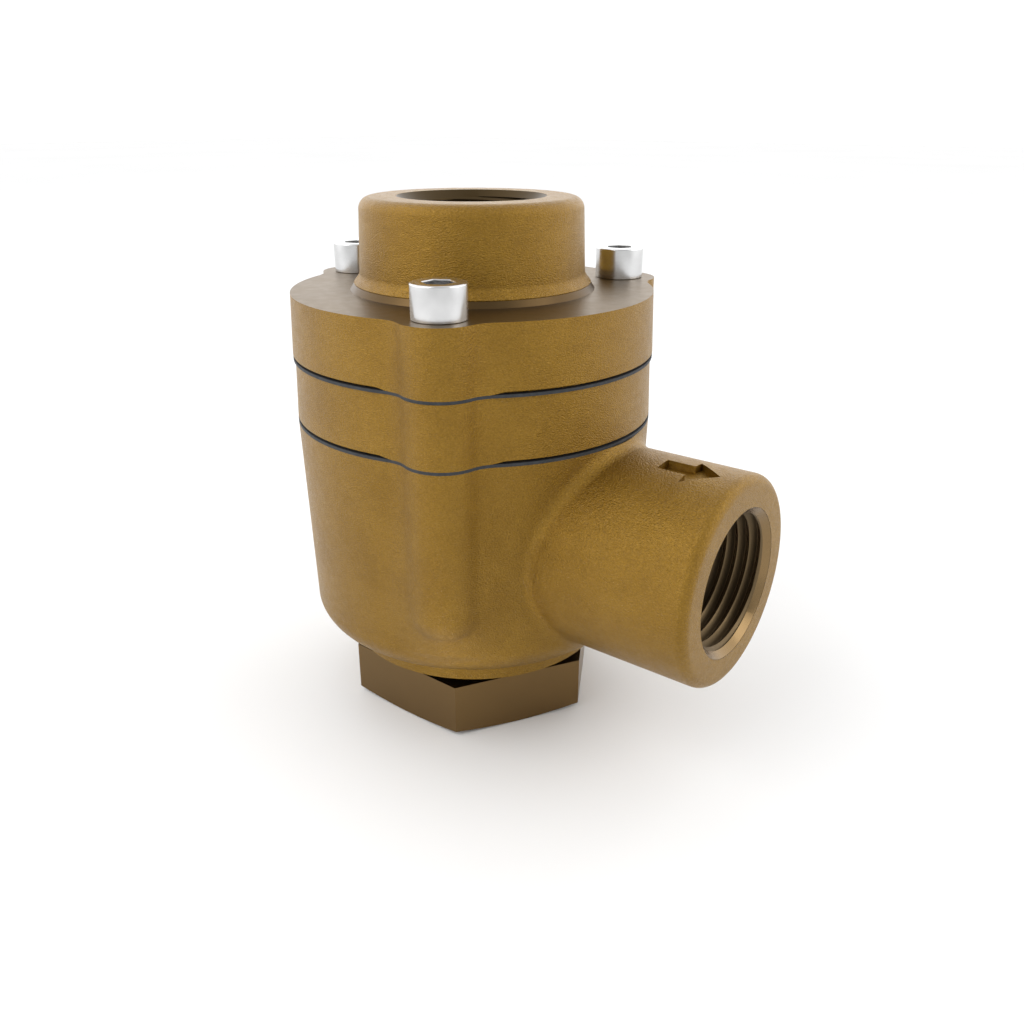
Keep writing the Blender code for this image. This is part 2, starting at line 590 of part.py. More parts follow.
def make_cap_screw(name, angle):
    """Socket head cap screw; its origin is the middle of the head's underside."""
    screw = turned(name, [
        (0, -SCREW_LENGTH),
        (SCREW_RADIUS - SCREW_TIP_BEVEL, -SCREW_LENGTH),
        (SCREW_RADIUS, -SCREW_LENGTH + SCREW_TIP_BEVEL),
        (SCREW_RADIUS, 0),
        (SCREW_HEAD_RADIUS, 0),
        (SCREW_HEAD_RADIUS, SCREW_HEAD_HEIGHT - SCREW_HEAD_BEVEL),
        (SCREW_HEAD_RADIUS - SCREW_HEAD_BEVEL, SCREW_HEAD_HEIGHT),
        (0, SCREW_HEAD_HEIGHT),
    ], STAINLESS, steps=28)
    bm = bmesh.new()
    add_hexagon(bm, SCREW_SOCKET_FLATS, SCREW_HEAD_HEIGHT - SCREW_SOCKET_DEPTH,
                SCREW_HEAD_HEIGHT + OVERCUT, turn=math.radians(12))
    socket = finish_object(name + "_socket_cutter", bm, smooth=False)
    socket.parent = screw
    combine(screw, socket, "DIFFERENCE")
    screw.location = (SCREW_CIRCLE * math.cos(angle), SCREW_CIRCLE * math.sin(angle),
                      FLANGE_Z + JOINT_GAP)
    return screw


def make_plug():
    """Hexagon plug: hexagon below, threaded cup above that opens into the body."""
    bm = bmesh.new()
    add_hexagon(bm, HEX_ACROSS_FLATS, 0, HEX_HEIGHT)
    plug = finish_object("bottom_plug", bm, MACHINED, smooth=False)

    flat_radius = HEX_ACROSS_FLATS / 2
    corner_radius = HEX_ACROSS_FLATS / math.sqrt(3)
    bevel_start = flat_radius - HEX_BEVEL_INSET
    far = corner_radius + 3 * OVERCUT
    rise = (far - bevel_start) * math.tan(HEX_BEVEL_ANGLE)
    combine(plug, turned("plug_bevel_cutter", [
        (bevel_start, 0), (far, rise), (far, -2 * OVERCUT), (bevel_start, -2 * OVERCUT)],
        steps=72), "DIFFERENCE")

    top_z = HEX_HEIGHT + PLUG_THREAD_LENGTH
    combine(plug, turned("plug_shank_shape", [
        (0, HEX_HEIGHT - OVERLAP),
        (PLUG_THREAD_RADIUS, HEX_HEIGHT - OVERLAP),
        (PLUG_THREAD_RADIUS, top_z - PLUG_SHANK_BEVEL),
        (PLUG_THREAD_RADIUS - PLUG_SHANK_BEVEL, top_z),
        (0, top_z)]), "UNION")
    cup_radius = PLUG_THREAD_RADIUS - PLUG_CUP_WALL
    combine(plug, turned("plug_cup_cutter", [
        (0, top_z - PLUG_CUP_DEPTH),
        (cup_radius, top_z - PLUG_CUP_DEPTH),
        (cup_radius, top_z + OVERCUT),
        (0, top_z + OVERCUT)]), "DIFFERENCE")
    return plug


def make_plug_gasket():
    low = HEX_HEIGHT + CLEARANCE
    high = low + PLUG_GASKET_THICKNESS
    inner = PLUG_THREAD_RADIUS + CLEARANCE
    outer = inner + PLUG_GASKET_WIDTH
    return turned("plug_gasket", [(inner, low), (outer, low), (outer, high), (inner, high)], GASKET)


# ---------------------------------------------------------------- inner pieces

def make_strainer():
    """Perforated disc on the ledge in the inlet throat, and the ring that holds it."""
    radius = THREAD_MINOR - CLEARANCE
    disc = turned("strainer_disc", [
        (0, STRAINER_Z), (radius, STRAINER_Z),
        (radius, STRAINER_Z + STRAINER_THICKNESS), (0, STRAINER_Z + STRAINER_THICKNESS)],
        SPRING_STEEL, steps=36)
    bm = bmesh.new()
    spacing = STRAINER_HOLE_SPACING
    reach = THROAT_RADIUS - STRAINER_HOLE_RADIUS - STRAINER_HOLE_EDGE
    for row in range(-4, 5):
        for column in range(-4, 5):
            x = spacing * (column + 0.5 * (row % 2))
            y = spacing * row * math.sin(math.radians(60))
            if math.hypot(x, y) <= reach:
                add_cylinder(bm, STRAINER_HOLE_RADIUS, STRAINER_Z - OVERCUT,
                             STRAINER_Z + STRAINER_THICKNESS + OVERCUT, x, y, steps=8)
    combine(disc, finish_object("strainer_hole_cutter", bm), "DIFFERENCE")

    top = SNAP_RING_Z + SNAP_RING_HEIGHT
    ring = turned("strainer_snap_ring", [
        (radius - SNAP_RING_WIDTH, SNAP_RING_Z), (radius, SNAP_RING_Z),
        (radius, top), (radius - SNAP_RING_WIDTH, top)], SPRING_STEEL, steps=40)
    bm = bmesh.new()
    bmesh.ops.create_cube(bm, size=1, matrix=Matrix.Translation((0, radius, SNAP_RING_Z))
                          @ Matrix.Diagonal((5 * MM, 8 * MM, 6 * MM, 1)))
    combine(ring, finish_object("snap_ring_gap_cutter", bm, smooth=False), "DIFFERENCE")
    return disc, ring


def make_seat():
    """Seat plate in the body's register, the screwed-in seat and its washer."""
    hole = SEAT_SHANK_RADIUS + CLEARANCE
    plate_radius = REGISTER_RADIUS - CLEARANCE
    turned("seat_plate", [(hole, PLATE_Z), (plate_radius, PLATE_Z),
                          (plate_radius, PLATE_TOP_Z), (hole, PLATE_TOP_Z)], MACHINED)

    washer_z = PLATE_TOP_Z + CLEARANCE
    washer_top = washer_z + SEAT_WASHER_THICKNESS
    washer_radius = SEAT_HEX_FLATS / 2 + SEAT_WASHER_BRIM
    turned("seat_washer", [(hole, washer_z), (washer_radius, washer_z),
                           (washer_radius, washer_top), (hole, washer_top)], COPPER, steps=36)

    bm = bmesh.new()
    add_hexagon(bm, SEAT_HEX_FLATS, SEAT_HEAD_Z, SEAT_TOP_Z)
    seat = finish_object("valve_seat", bm, STAINLESS, smooth=False)
    shank_z = SEAT_HEAD_Z - SEAT_SHANK_LENGTH
    combine(seat, turned("seat_shank_shape", [
        (0, shank_z), (SEAT_SHANK_RADIUS, shank_z),
        (SEAT_SHANK_RADIUS, SEAT_HEAD_Z + OVERLAP / 2), (0, SEAT_HEAD_Z + OVERLAP / 2)],
        steps=32), "UNION")
    exit_radius = ORIFICE_RADIUS + SEAT_EXIT_FLARE
    exit_z = shank_z + SEAT_EXIT_DEPTH
    bevel_z = SEAT_TOP_Z - SEAT_BEVEL
    combine(seat, turned("seat_orifice_cutter", [
        (0, shank_z - OVERCUT),
        (exit_radius, shank_z - OVERCUT),
        (exit_radius, exit_z),
        (ORIFICE_RADIUS, exit_z + 1.0 * MM),
        (ORIFICE_RADIUS, bevel_z),
        (ORIFICE_RADIUS + SEAT_BEVEL + OVERCUT, SEAT_TOP_Z + OVERCUT),
        (0, SEAT_TOP_Z + OVERCUT)], steps=28), "DIFFERENCE")
    return seat


def make_valve():
    """Valve head: its origin is on the axis at its tip, which slides along Z."""
    cone_top = VALVE_CONE_TOP_Z - VALVE_TIP_Z
    disc_low = VALVE_DISC_Z - VALVE_TIP_Z
    disc_high = disc_low + VALVE_DISC_THICKNESS
    return turned("valve_head", [
        (0, 0),
        (VALVE_TIP_RADIUS, 0),
        (VALVE_CONE_RADIUS, cone_top),
        (VALVE_CONE_RADIUS, disc_low),
        (VALVE_DISC_RADIUS, disc_low),
        (VALVE_DISC_RADIUS, disc_high),
        (0, disc_high)], STAINLESS, steps=32, location=(0, 0, VALVE_TIP_Z))


def make_capsule():
    """Folded wall of the capsule: thin cones between the outer and inner radius."""
    outside = []
    inside = []
    for fold in range(CAPSULE_FOLDS):
        low = CAPSULE_Z + fold * CAPSULE_FOLD_PITCH
        middle = low + CAPSULE_FOLD_PITCH / 2
        outside += [(CAPSULE_INNER_RADIUS, low), (CAPSULE_RADIUS, middle)]
        inside += [(CAPSULE_INNER_RADIUS - CAPSULE_WALL, low), (CAPSULE_RADIUS - CAPSULE_WALL, middle)]
    outside.append((CAPSULE_INNER_RADIUS, CAPSULE_TOP_Z))
    inside.append((CAPSULE_INNER_RADIUS - CAPSULE_WALL, CAPSULE_TOP_Z))
    return turned("thermostatic_capsule", outside + inside[::-1], SPRING_STEEL, steps=32)


def make_capsule_cap():
    top = CAP_Z + CAP_THICKNESS
    return turned("capsule_stud", [
        (0, CAP_Z),
        (CAPSULE_RADIUS - CAP_INSET, CAP_Z),
        (CAPSULE_RADIUS - CAP_INSET, top),
        (STUD_RADIUS, top),
        (STUD_RADIUS, STUD_TOP_Z),
        (0, STUD_TOP_Z)], STAINLESS, steps=32)


def make_carrier():
    """Three-armed bridge: its rim is clamped under the cover, its hub holds the stud."""
    rim_radius = REGISTER_RADIUS - CLEARANCE
    rim_top = COVER_Z - CLEARANCE
    rim_low = rim_top - CARRIER_RIM_THICKNESS
    shell = CHAMBER_RADIUS - CARRIER_SHELL_GAP
    knee = rim_top + CARRIER_KNEE
    shoulder = CAPSULE_RADIUS + 1.0 * MM
    inner_shell = shell - CARRIER_WALL
    hub_hole = STUD_RADIUS + CLEARANCE
    carrier = turned("element_carrier", [
        (inner_shell, rim_low),
        (rim_radius, rim_low),
        (rim_radius, rim_top),
        (shell, rim_top),
        (shell, knee),
        (shoulder, HUB_TOP_Z),
        (hub_hole, HUB_TOP_Z),
        (hub_hole, HUB_Z),
        (shoulder - 0.7 * MM, HUB_Z),
        (inner_shell, knee - 0.8 * MM)], MACHINED)
    bm = bmesh.new()
    window = 2 * math.pi / LOBE_COUNT - CARRIER_ARM_ANGLE
    for angle in LOBE_ANGLES:
        sector(bm, STUD_RADIUS + CARRIER_HUB_RIM, rim_radius + 2 * OVERCUT, rim_top + 0.4 * MM,
               HUB_TOP_Z + 2 * OVERCUT, angle + CARRIER_ARM_ANGLE / 2, window)
    combine(carrier, finish_object("carrier_window_cutter", bm), "DIFFERENCE")
    return carrier


def make_lock_nut():
    hole = STUD_RADIUS + CLEARANCE
    brim = NUT_ACROSS_FLATS / 2 + WASHER_BRIM
    turned("lock_washer", [
        (hole, WASHER_Z), (brim, WASHER_Z),
        (brim, WASHER_Z + WASHER_THICKNESS),
        (hole, WASHER_Z + WASHER_THICKNESS)], SPRING_STEEL, steps=28)
    bm = bmesh.new()
    add_hexagon(bm, NUT_ACROSS_FLATS, NUT_Z, NUT_Z + NUT_HEIGHT)
    nut = finish_object("lock_nut", bm, STAINLESS, smooth=False)
    combine(nut, turned("nut_hole_cutter", [
        (0, NUT_Z - OVERCUT), (hole, NUT_Z - OVERCUT),
        (hole, NUT_Z + NUT_HEIGHT + OVERCUT), (0, NUT_Z + NUT_HEIGHT + OVERCUT)],
        steps=24), "DIFFERENCE")
    return nut


# ---------------------------------------------------------------- the assembly

make_body()
make_ring()
make_cover()
make_gasket("lower_gasket", BODY_TOP_Z + JOINT_GAP, BODY_TOP_RADIUS)
make_gasket("upper_gasket", RING_TOP_Z + JOINT_GAP, BODY_TOP_RADIUS)
for number, lobe_angle in enumerate(LOBE_ANGLES, start=1):
    make_cap_screw(f"cap_screw_{number}", lobe_angle)
make_plug()
make_plug_gasket()
make_strainer()
make_seat()
make_valve()
make_capsule()
make_capsule_cap()
make_carrier()
make_lock_nut()
bpy.context.view_layer.update()
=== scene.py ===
"""Looks of the cast bronze steam trap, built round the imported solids.

Lengths here are in millimetres and turn to metres when a mesh is made. The
casting shapes come from one distance rule each, on grids worked out as whole
arrays; turned pieces carry a profile round an axis.
"""

import math

import bmesh
import bpy
import numpy as np
from mathutils import Matrix, Vector


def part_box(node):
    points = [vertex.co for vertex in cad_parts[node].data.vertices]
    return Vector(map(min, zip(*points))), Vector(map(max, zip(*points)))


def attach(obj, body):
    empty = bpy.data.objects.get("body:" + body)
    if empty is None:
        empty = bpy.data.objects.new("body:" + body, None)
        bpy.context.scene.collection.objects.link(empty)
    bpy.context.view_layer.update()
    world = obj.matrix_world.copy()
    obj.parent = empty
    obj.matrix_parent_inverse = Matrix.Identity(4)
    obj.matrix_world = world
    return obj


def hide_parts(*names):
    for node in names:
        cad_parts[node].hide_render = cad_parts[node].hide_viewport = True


MM = 0.001

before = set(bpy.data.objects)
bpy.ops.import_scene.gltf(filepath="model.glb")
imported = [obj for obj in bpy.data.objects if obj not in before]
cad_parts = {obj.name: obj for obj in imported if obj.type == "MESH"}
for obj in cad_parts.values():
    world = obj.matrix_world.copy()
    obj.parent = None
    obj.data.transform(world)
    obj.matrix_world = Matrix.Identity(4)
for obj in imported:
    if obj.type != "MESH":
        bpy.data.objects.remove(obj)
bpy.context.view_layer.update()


def node_span(node):
    """Lowest and highest corner of a solid, in millimetres."""
    low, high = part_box(node)
    return np.array(low) / MM, np.array(high) / MM


# ------------------------------------------------------------------ sizes

body_low, body_high = node_span("body")
ring_low, ring_high = node_span("middle_ring")
cover_low, cover_high = node_span("inlet_cover")
plug_high = node_span("bottom_plug")[1]
screw_low, screw_high = node_span("cap_screw_1")

LAND_Z = body_low[2]
BODY_TOP = body_high[2]
RING_Z = ring_low[2]
RING_TOP = ring_high[2]
COVER_Z = cover_low[2]
INLET_TOP = cover_high[2]
PORT_FACE = body_high[0]
PLUG_TOP = plug_high[2]
SCREW_TIP, SCREW_TOP = screw_low[2], screw_high[2]

FLANGE_Z = COVER_Z + 11.55  # machined top of the cover's flange
BODY_RADIUS = 34.2
BODY_DRAFT = math.radians(1.54)     # the body's wall leans inwards going down
SKIN_DRAFT = math.radians(2.2)      # the ring's and the cover's lean inwards going up
LAND_RADIUS = 26.0          # flat under the body, round the plug
LAND_TOP = LAND_Z + 2.6
LAND_FILLET = 0.9
SLOPE_RADIUS, SLOPE_Z = 31.46, LAND_Z + 5.6     # a point on the sloping underside
SLOPE_ANGLE = math.radians(28)
SLOPE_FILLET = 2.6

SCREW_CIRCLE = 31.0
LOBE_RADIUS = 7.1           # of the round columns and lobes about the screws
LOBE_FILLET = 4.3
LOBE_FILLET_FALL = 7.0      # way down the body over which the fillet grows by 1
LOBE_END_Z = BODY_TOP - 33.2
LOBE_END_FILLET = 5.4
LOBE_TURNS = np.radians([180.0, 300.0, 60.0])

PORT_Z = 38.8
PORT_START = 8.0            # distance from the axis where the port begins, inside the body
PORT_RADIUS = 19.3
PORT_RIM = 1.9              # rounding of the port's outer edge
PORT_FILLET = 2.4           # in the corner between port and body
OUTLET_MOUTH = 13.65
INLET_MOUTH = 13.7
THREAD_MAJOR = 13.3
THREAD_MINOR = 12.0
THREAD_PITCH = 2.2          # of the helix in both ports
OUTLET_THREAD_DEPTH = 17.9
INLET_THREAD_DEPTH = 12.4

BOSS_RADIUS = 20.95
BOSS_TOP_RADIUS = 20.45
BOSS_ROUND = 2.2            # rounding of the boss's top edge
CONE_RADIUS = BOSS_RADIUS + 1.9
CONE_TOP_RADIUS = BOSS_RADIUS + 1.12
CONE_HEIGHT = 1.1

CHAMBER_RADIUS = 23.6
REGISTER_RADIUS = 25.7      # recess for the plate between body and ring, and for the carrier
PLUG_HOLE_RADIUS = 16.9
OUTLET_CORE_RADIUS = 11.2
OUTLET_CORE_END = 40.4
GASKET_HOLE_RADIUS = 26.0
LOWER_GASKET_RADIUS = 34.2
UPPER_GASKET_RADIUS = 34.15
GASKET_GAP = 0.01
OVERCUT = 2.0               # how far a cutter runs past the face it opens


# ------------------------------------------------------------------ arrays and meshes

SHARP_EDGE = 32.0           # degrees between two faces past which the edge is shown sharp


def rounded(corners, steps=8):
    """A (radius, height) path whose corners are filleted.

    Each corner is (r, h, fillet). The fillet's circle touches both sides at
    fillet / tan(half the corner's angle) from the corner, and its points turn
    evenly from one touching point to the other.
    """
    spots = np.array([c[:2] for c in corners], float)
    path = [spots[0]]
    for i in range(1, len(corners) - 1):
        fillet = corners[i][2]
        before, after = spots[i - 1] - spots[i], spots[i + 1] - spots[i]
        before, after = before / np.hypot(*before), after / np.hypot(*after)
        if fillet <= 0:
            path.append(spots[i])
            continue
        half = math.acos(np.clip(before @ after, -1, 1)) / 2
        middle = before + after
        centre = spots[i] + middle / np.hypot(*middle) * fillet / math.sin(half)
        first = spots[i] + before * fillet / math.tan(half) - centre
        last = spots[i] + after * fillet / math.tan(half) - centre
        sweep = math.acos(np.clip(first @ last / fillet ** 2, -1, 1))
        share = np.linspace(0, 1, steps + 1)[:, None]
        arc = (np.sin((1 - share) * sweep) * first + np.sin(share * sweep) * last) / math.sin(sweep)
        path.extend(centre + arc)
    path.append(spots[-1])
    return np.array(path)


def turned(path, turns, axis="z", height=0.0):
    """Grid of a path carried round an axis: (r cos t, r sin t) across it and h along it.

    The height is that of an x axis above the origin.
    """
    r, h = path[:, 0][:, None], path[:, 1][:, None]
    across, up = r * np.cos(turns), r * np.sin(turns)
    along = h + 0 * turns
    if axis == "x":
        return np.stack([along, across, up + height], -1)
    return np.stack([across, up, along], -1)


def full_turn(count):
    """Angles spread evenly over a whole turn."""
    return np.arange(count) * 2 * math.pi / count


def solid(name, grids, materials, sharp=SHARP_EDGE, weld=2e-6):
    """One closed mesh from grids of points.

    A grid is (points, wraps, material number): a quad joins each point to its
    neighbours in the next row and column, and the last column joins the first
    where it wraps. Shared edges are welded and the faces turned outwards.
    """
    verts, faces, slots = [], [], []
    start = 0
    for points, wraps, slot in grids:
        rows, cols = points.shape[:2]
        row = np.arange(rows - 1)[:, None]
        col = np.arange(cols if wraps else cols - 1)[None, :]
        near = start + row * cols + col
        far = start + row * cols + (col + 1) % cols
        quads = np.stack([near, far, far + cols, near + cols], -1).reshape(-1, 4)
        verts.append(points.reshape(-1, 3) * MM)
        faces.append(quads)
        slots.append(np.full(len(quads), slot))
        start += rows * cols
    verts, faces, slots = np.concatenate(verts), np.concatenate(faces), np.concatenate(slots)
    mesh = bpy.data.meshes.new(name)
    mesh.vertices.add(len(verts))
    mesh.vertices.foreach_set("co", verts.astype(np.float32).ravel())
    mesh.loops.add(faces.size)
    mesh.loops.foreach_set("vertex_index", faces.astype(np.int32).ravel())
    mesh.polygons.add(len(faces))
    mesh.polygons.foreach_set("loop_start", np.arange(0, faces.size, 4, dtype=np.int32))
    mesh.polygons.foreach_set("material_index", slots.astype(np.int32))
    mesh.update(calc_edges=True)
    for material in materials:
        mesh.materials.append(material)
    bm = bmesh.new()
    bm.from_mesh(mesh)
    bmesh.ops.remove_doubles(bm, verts=bm.verts, dist=weld)
    bmesh.ops.recalc_face_normals(bm, faces=bm.faces)
    bm.to_mesh(mesh)
    bm.free()
    mesh.shade_smooth()
    mesh.set_sharp_from_angle(angle=math.radians(sharp))
    thing = bpy.data.objects.new(name, mesh)
    bpy.context.scene.collection.objects.link(thing)
    return thing


def carve(thing, cutters):
    """Cut the cutters out of a piece, keep their finish on the cut faces, then drop them."""
    for tool in cutters:
        cut = thing.modifiers.new(tool.name, "BOOLEAN")
        cut.operation = "DIFFERENCE"
        cut.solver = "EXACT"
        cut.material_mode = "TRANSFER"
        cut.object = tool
    bpy.context.view_layer.update()
    shape = bpy.data.meshes.new_from_object(
        thing.evaluated_get(bpy.context.evaluated_depsgraph_get()))
    thing.modifiers.clear()
    thing.data = shape
    shape.set_sharp_from_angle(angle=math.radians(SHARP_EDGE))
    for tool in cutters:
        bpy.data.objects.remove(tool, do_unlink=True)
    return thing


def settle(thing, body, slot, *nodes):
    """A finished piece: its body and the solids it stands for; the finish passed as slot is not used."""
    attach(thing, body)
    if nodes:
        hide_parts(*nodes)
    return thing


# ------------------------------------------------------------------ distance rules of the castings

def slope(rule, x, y, z, step=1e-4):
    """Value of a rule and its three slopes, by small steps along x, y and z."""
    value = rule(x, y, z)
    return (value, (rule(x + step, y, z) - value) / step, (rule(x, y + step, z) - value) / step,
            (rule(x, y, z + step) - value) / step)


def joined(first, second, radius):
    """Rule of two rules joined, with a rolling ball's fillet in the corner between them.

    With g the cosine between the two slopes and A, B the ball's radius less
    each distance, the ball's centre is sqrt((A A + B B - 2 g A B) / (1 - g g))
    away, wherever both A - g B and B - g A are positive. Elsewhere the nearer
    of the two rules holds. The radius is a number or a function of the height.
    """
    def rule(x, y, z):
        ball = radius(z) if callable(radius) else radius
        a, ax, ay, az = slope(first, x, y, z)
        b, bx, by, bz = slope(second, x, y, z)
        size = np.sqrt((ax ** 2 + ay ** 2 + az ** 2) * (bx ** 2 + by ** 2 + bz ** 2))
        g = np.clip((ax * bx + ay * by + az * bz) / np.maximum(size, 1e-9), -0.999, 0.9999)
        near_a, near_b = ball - a, ball - b
        away = np.sqrt(np.maximum(near_a ** 2 + near_b ** 2 - 2 * g * near_a * near_b, 0) / (1 - g ** 2))
        in_corner = (near_a - g * near_b > 0) & (near_b - g * near_a > 0)
        return np.where(in_corner, ball - away, np.minimum(a, b))
    return rule


def round_meet(a, b, radius):
    """What two distances share, with its outside corner rounded to that radius."""
    return (np.minimum(-radius, np.maximum(a, b))
            + np.hypot(np.maximum(radius + a, 0), np.maximum(radius + b, 0)))


def column_side(x, y):
    """Distance to the side of the nearest of the three screw columns."""
    away = [np.hypot(x - SCREW_CIRCLE * math.cos(turn), y - SCREW_CIRCLE * math.sin(turn))
            for turn in LOBE_TURNS]
    return np.minimum.reduce(away) - LOBE_RADIUS


def bowl_rule(x, y, z):
    """Round part of the body: drafted wall with a rounded corner to the sloping underside."""
    r = np.hypot(x, y)
    wall = (r - BODY_RADIUS - math.tan(BODY_DRAFT) * (z - BODY_TOP)) * math.cos(BODY_DRAFT)
    under = (r - SLOPE_RADIUS) * math.sin(SLOPE_ANGLE) - (z - SLOPE_Z) * math.cos(SLOPE_ANGLE)
    return round_meet(wall, under, SLOPE_FILLET)


def land_rule(x, y, z):
    """Round land under the body: distance to an upright cylinder."""
    return np.hypot(x, y) - LAND_RADIUS


def column_rule(x, y, z):
    """Screw columns with rounded lower ends."""
    return round_meet(column_side(x, y), LOBE_END_Z - z, LOBE_END_FILLET)


def port_rule(x, y, z):
    """Port: distance to a cylinder along +X that begins inside the body."""
    return np.maximum(np.hypot(y, z - PORT_Z) - PORT_RADIUS, PORT_START - x)


def column_fillet(z):
    """Fillet beside a column, which widens with the way down from the joint face."""
    return LOBE_FILLET + np.maximum(BODY_TOP - z, 0) / LOBE_FILLET_FALL


cup_rule = joined(joined(bowl_rule, land_rule, LAND_FILLET), column_rule, column_fillet)
body_rule = joined(cup_rule, port_rule, PORT_FILLET)


def skin_rule(base_z, radius=BODY_RADIUS, draft=SKIN_DRAFT):
    """Rule of a lobed outline whose round wall drafts inwards from its lower edge."""
    def wall(x, y, z):
        return np.hypot(x, y) - radius + math.tan(draft) * (z - base_z)

    def lobes(x, y, z):
        return column_side(x, y) - (radius - BODY_RADIUS)
    return joined(wall, lobes, LOBE_FILLET)


def reach(rule, turns, heights, nearest=18.0, farthest=46.0):
    """Distance from the axis at which a rule is zero, by halving the interval 40 times."""
    turns, heights = np.broadcast_arrays(turns, heights)
    near, far = np.full(turns.shape, nearest), np.full(turns.shape, farthest)
    for _ in range(40):
        middle = (near + far) / 2
        inside = rule(middle * np.cos(turns), middle * np.sin(turns), heights) < 0
        near, far = np.where(inside, middle, near), np.where(inside, far, middle)
    return (near + far) / 2


def wall_grid(rule, turns, heights):
    """Grid of the skin over angles and heights."""
    turns, heights = np.broadcast_arrays(turns, heights)
    r = reach(rule, turns, heights)
    return np.stack([r * np.cos(turns), r * np.sin(turns), heights], -1)


def drop_onto(rule, points, rounds=14):
    """Move points along the rule's slope, by value over slope squared, until they lie on it."""
    points = points.copy()
    for _ in range(rounds):
        value, *slopes = slope(rule, points[..., 0], points[..., 1], points[..., 2])
        uphill = np.stack(slopes, -1)
        points -= uphill * (value / np.maximum((uphill ** 2).sum(-1), 1e-6))[..., None]
    return points


# ------------------------------------------------------------------ materials

class Nodes:
    """Small helper that adds nodes to a material and joins them."""

    def __init__(self, name):
        self.material = bpy.data.materials.new(name)
        self.material.use_nodes = True
        self.tree = self.material.node_tree
        self.shader = self.tree.nodes["Principled BSDF"]
        self.place = self.add("ShaderNodeTexCoord").outputs["Object"]

    def add(self, kind, **values):
        node = self.tree.nodes.new(kind)
        for key, value in values.items():
            setattr(node, key, value)
        return node

    def feed(self, node, socket, value):
        target = node.inputs[socket]
        if isinstance(value, bpy.types.NodeSocket):
            self.tree.links.new(value, target)
        else:
            target.default_value = value
        return node

    def noise(self, scale, detail=3.0, roughness=0.55, stretch=None):
        """Noise over the object's own coordinates; scale is lumps to the metre."""
        place = self.place
        if stretch:
            mapping = self.add("ShaderNodeMapping")
            self.feed(mapping, "Vector", place)
            mapping.inputs["Scale"].default_value = stretch
            place = mapping.outputs["Vector"]
        node = self.add("ShaderNodeTexNoise")
        self.feed(node, "Vector", place)
        node.inputs["Scale"].default_value = scale
        node.inputs["Detail"].default_value = detail
        node.inputs["Roughness"].default_value = roughness
        node.inputs["Distortion"].default_value = 0.0
        return node.outputs["Fac"]

    def ramp(self, value, stops):
        node = self.add("ShaderNodeValToRGB")
        self.feed(node, "Fac", value)
        ramp = node.color_ramp
        while len(ramp.elements) < len(stops):
            ramp.elements.new(0.5)
        for element, (spot, colour) in zip(ramp.elements, stops):
            element.position = spot
            element.color = (*colour, 1.0)
        return node.outputs["Color"]

    def spread(self, value, low, high, to_low, to_high):
        node = self.add("ShaderNodeMapRange")
        for socket, number in (("Value", value), ("From Min", low), ("From Max", high),
                               ("To Min", to_low), ("To Max", to_high)):
            self.feed(node, socket, number)
        return node.outputs["Result"]

    def mix(self, share, first, second):
        node = self.add("ShaderNodeMix", data_type="RGBA", blend_type="MIX")
        for socket, value in ((0, share), (6, first), (7, second)):
            if isinstance(value, bpy.types.NodeSocket):
                self.tree.links.new(value, node.inputs[socket])
            else:
                node.inputs[socket].default_value = value
        return node.outputs[2]

    def bump(self, height, strength, distance, below=None):
        node = self.add("ShaderNodeBump")
        self.feed(node, "Height", height)
        node.inputs["Strength"].default_value = strength
        node.inputs["Distance"].default_value = distance
        if below:
            self.feed(node, "Normal", below)
        return node.outputs["Normal"]

    def set(self, **sockets):
        for socket, value in sockets.items():
            self.feed(self.shader, socket.replace("_", " "), value)
        return self


def grey(value):
    return (value, value, value)


def cast_bronze():
    """Sand-cast skin: fine grain, faint larger waves, slow colour change and a thin clear skin."""
    nodes = Nodes("cast_bronze")
    tone = nodes.ramp(nodes.noise(110, 3), [(0.32, (0.225, 0.122, 0.0140)), (0.68, (0.262, 0.146, 0.0185))])
    speck = nodes.noise(2900, 3, 0.6, stretch=(1, 1, 1.7))
    tone = nodes.mix(nodes.spread(speck, 0.36, 0.50, 0.34, 0.0), tone, (0.135, 0.070, 0.008, 1))
    tone = nodes.mix(nodes.spread(speck, 0.52, 0.68, 0.0, 0.26), tone, (0.37, 0.225, 0.046, 1))
    nodes.set(Base_Color=tone, Metallic=1.0,
              Roughness=nodes.spread(nodes.noise(700, 3), 0.3, 0.7, 0.44, 0.54))
    nodes.set(Coat_Weight=0.24, Coat_Roughness=0.12, Coat_IOR=1.5)
    grain = nodes.bump(nodes.noise(3300, 2, 0.5, stretch=(1, 1, 1.7)), 1.0, 0.00020)
    relief = nodes.bump(nodes.noise(900, 2, stretch=(1, 1, 1.4)), 0.16, 0.00022, grain)
    nodes.set(Normal=relief, Coat_Normal=relief)
    return nodes.material


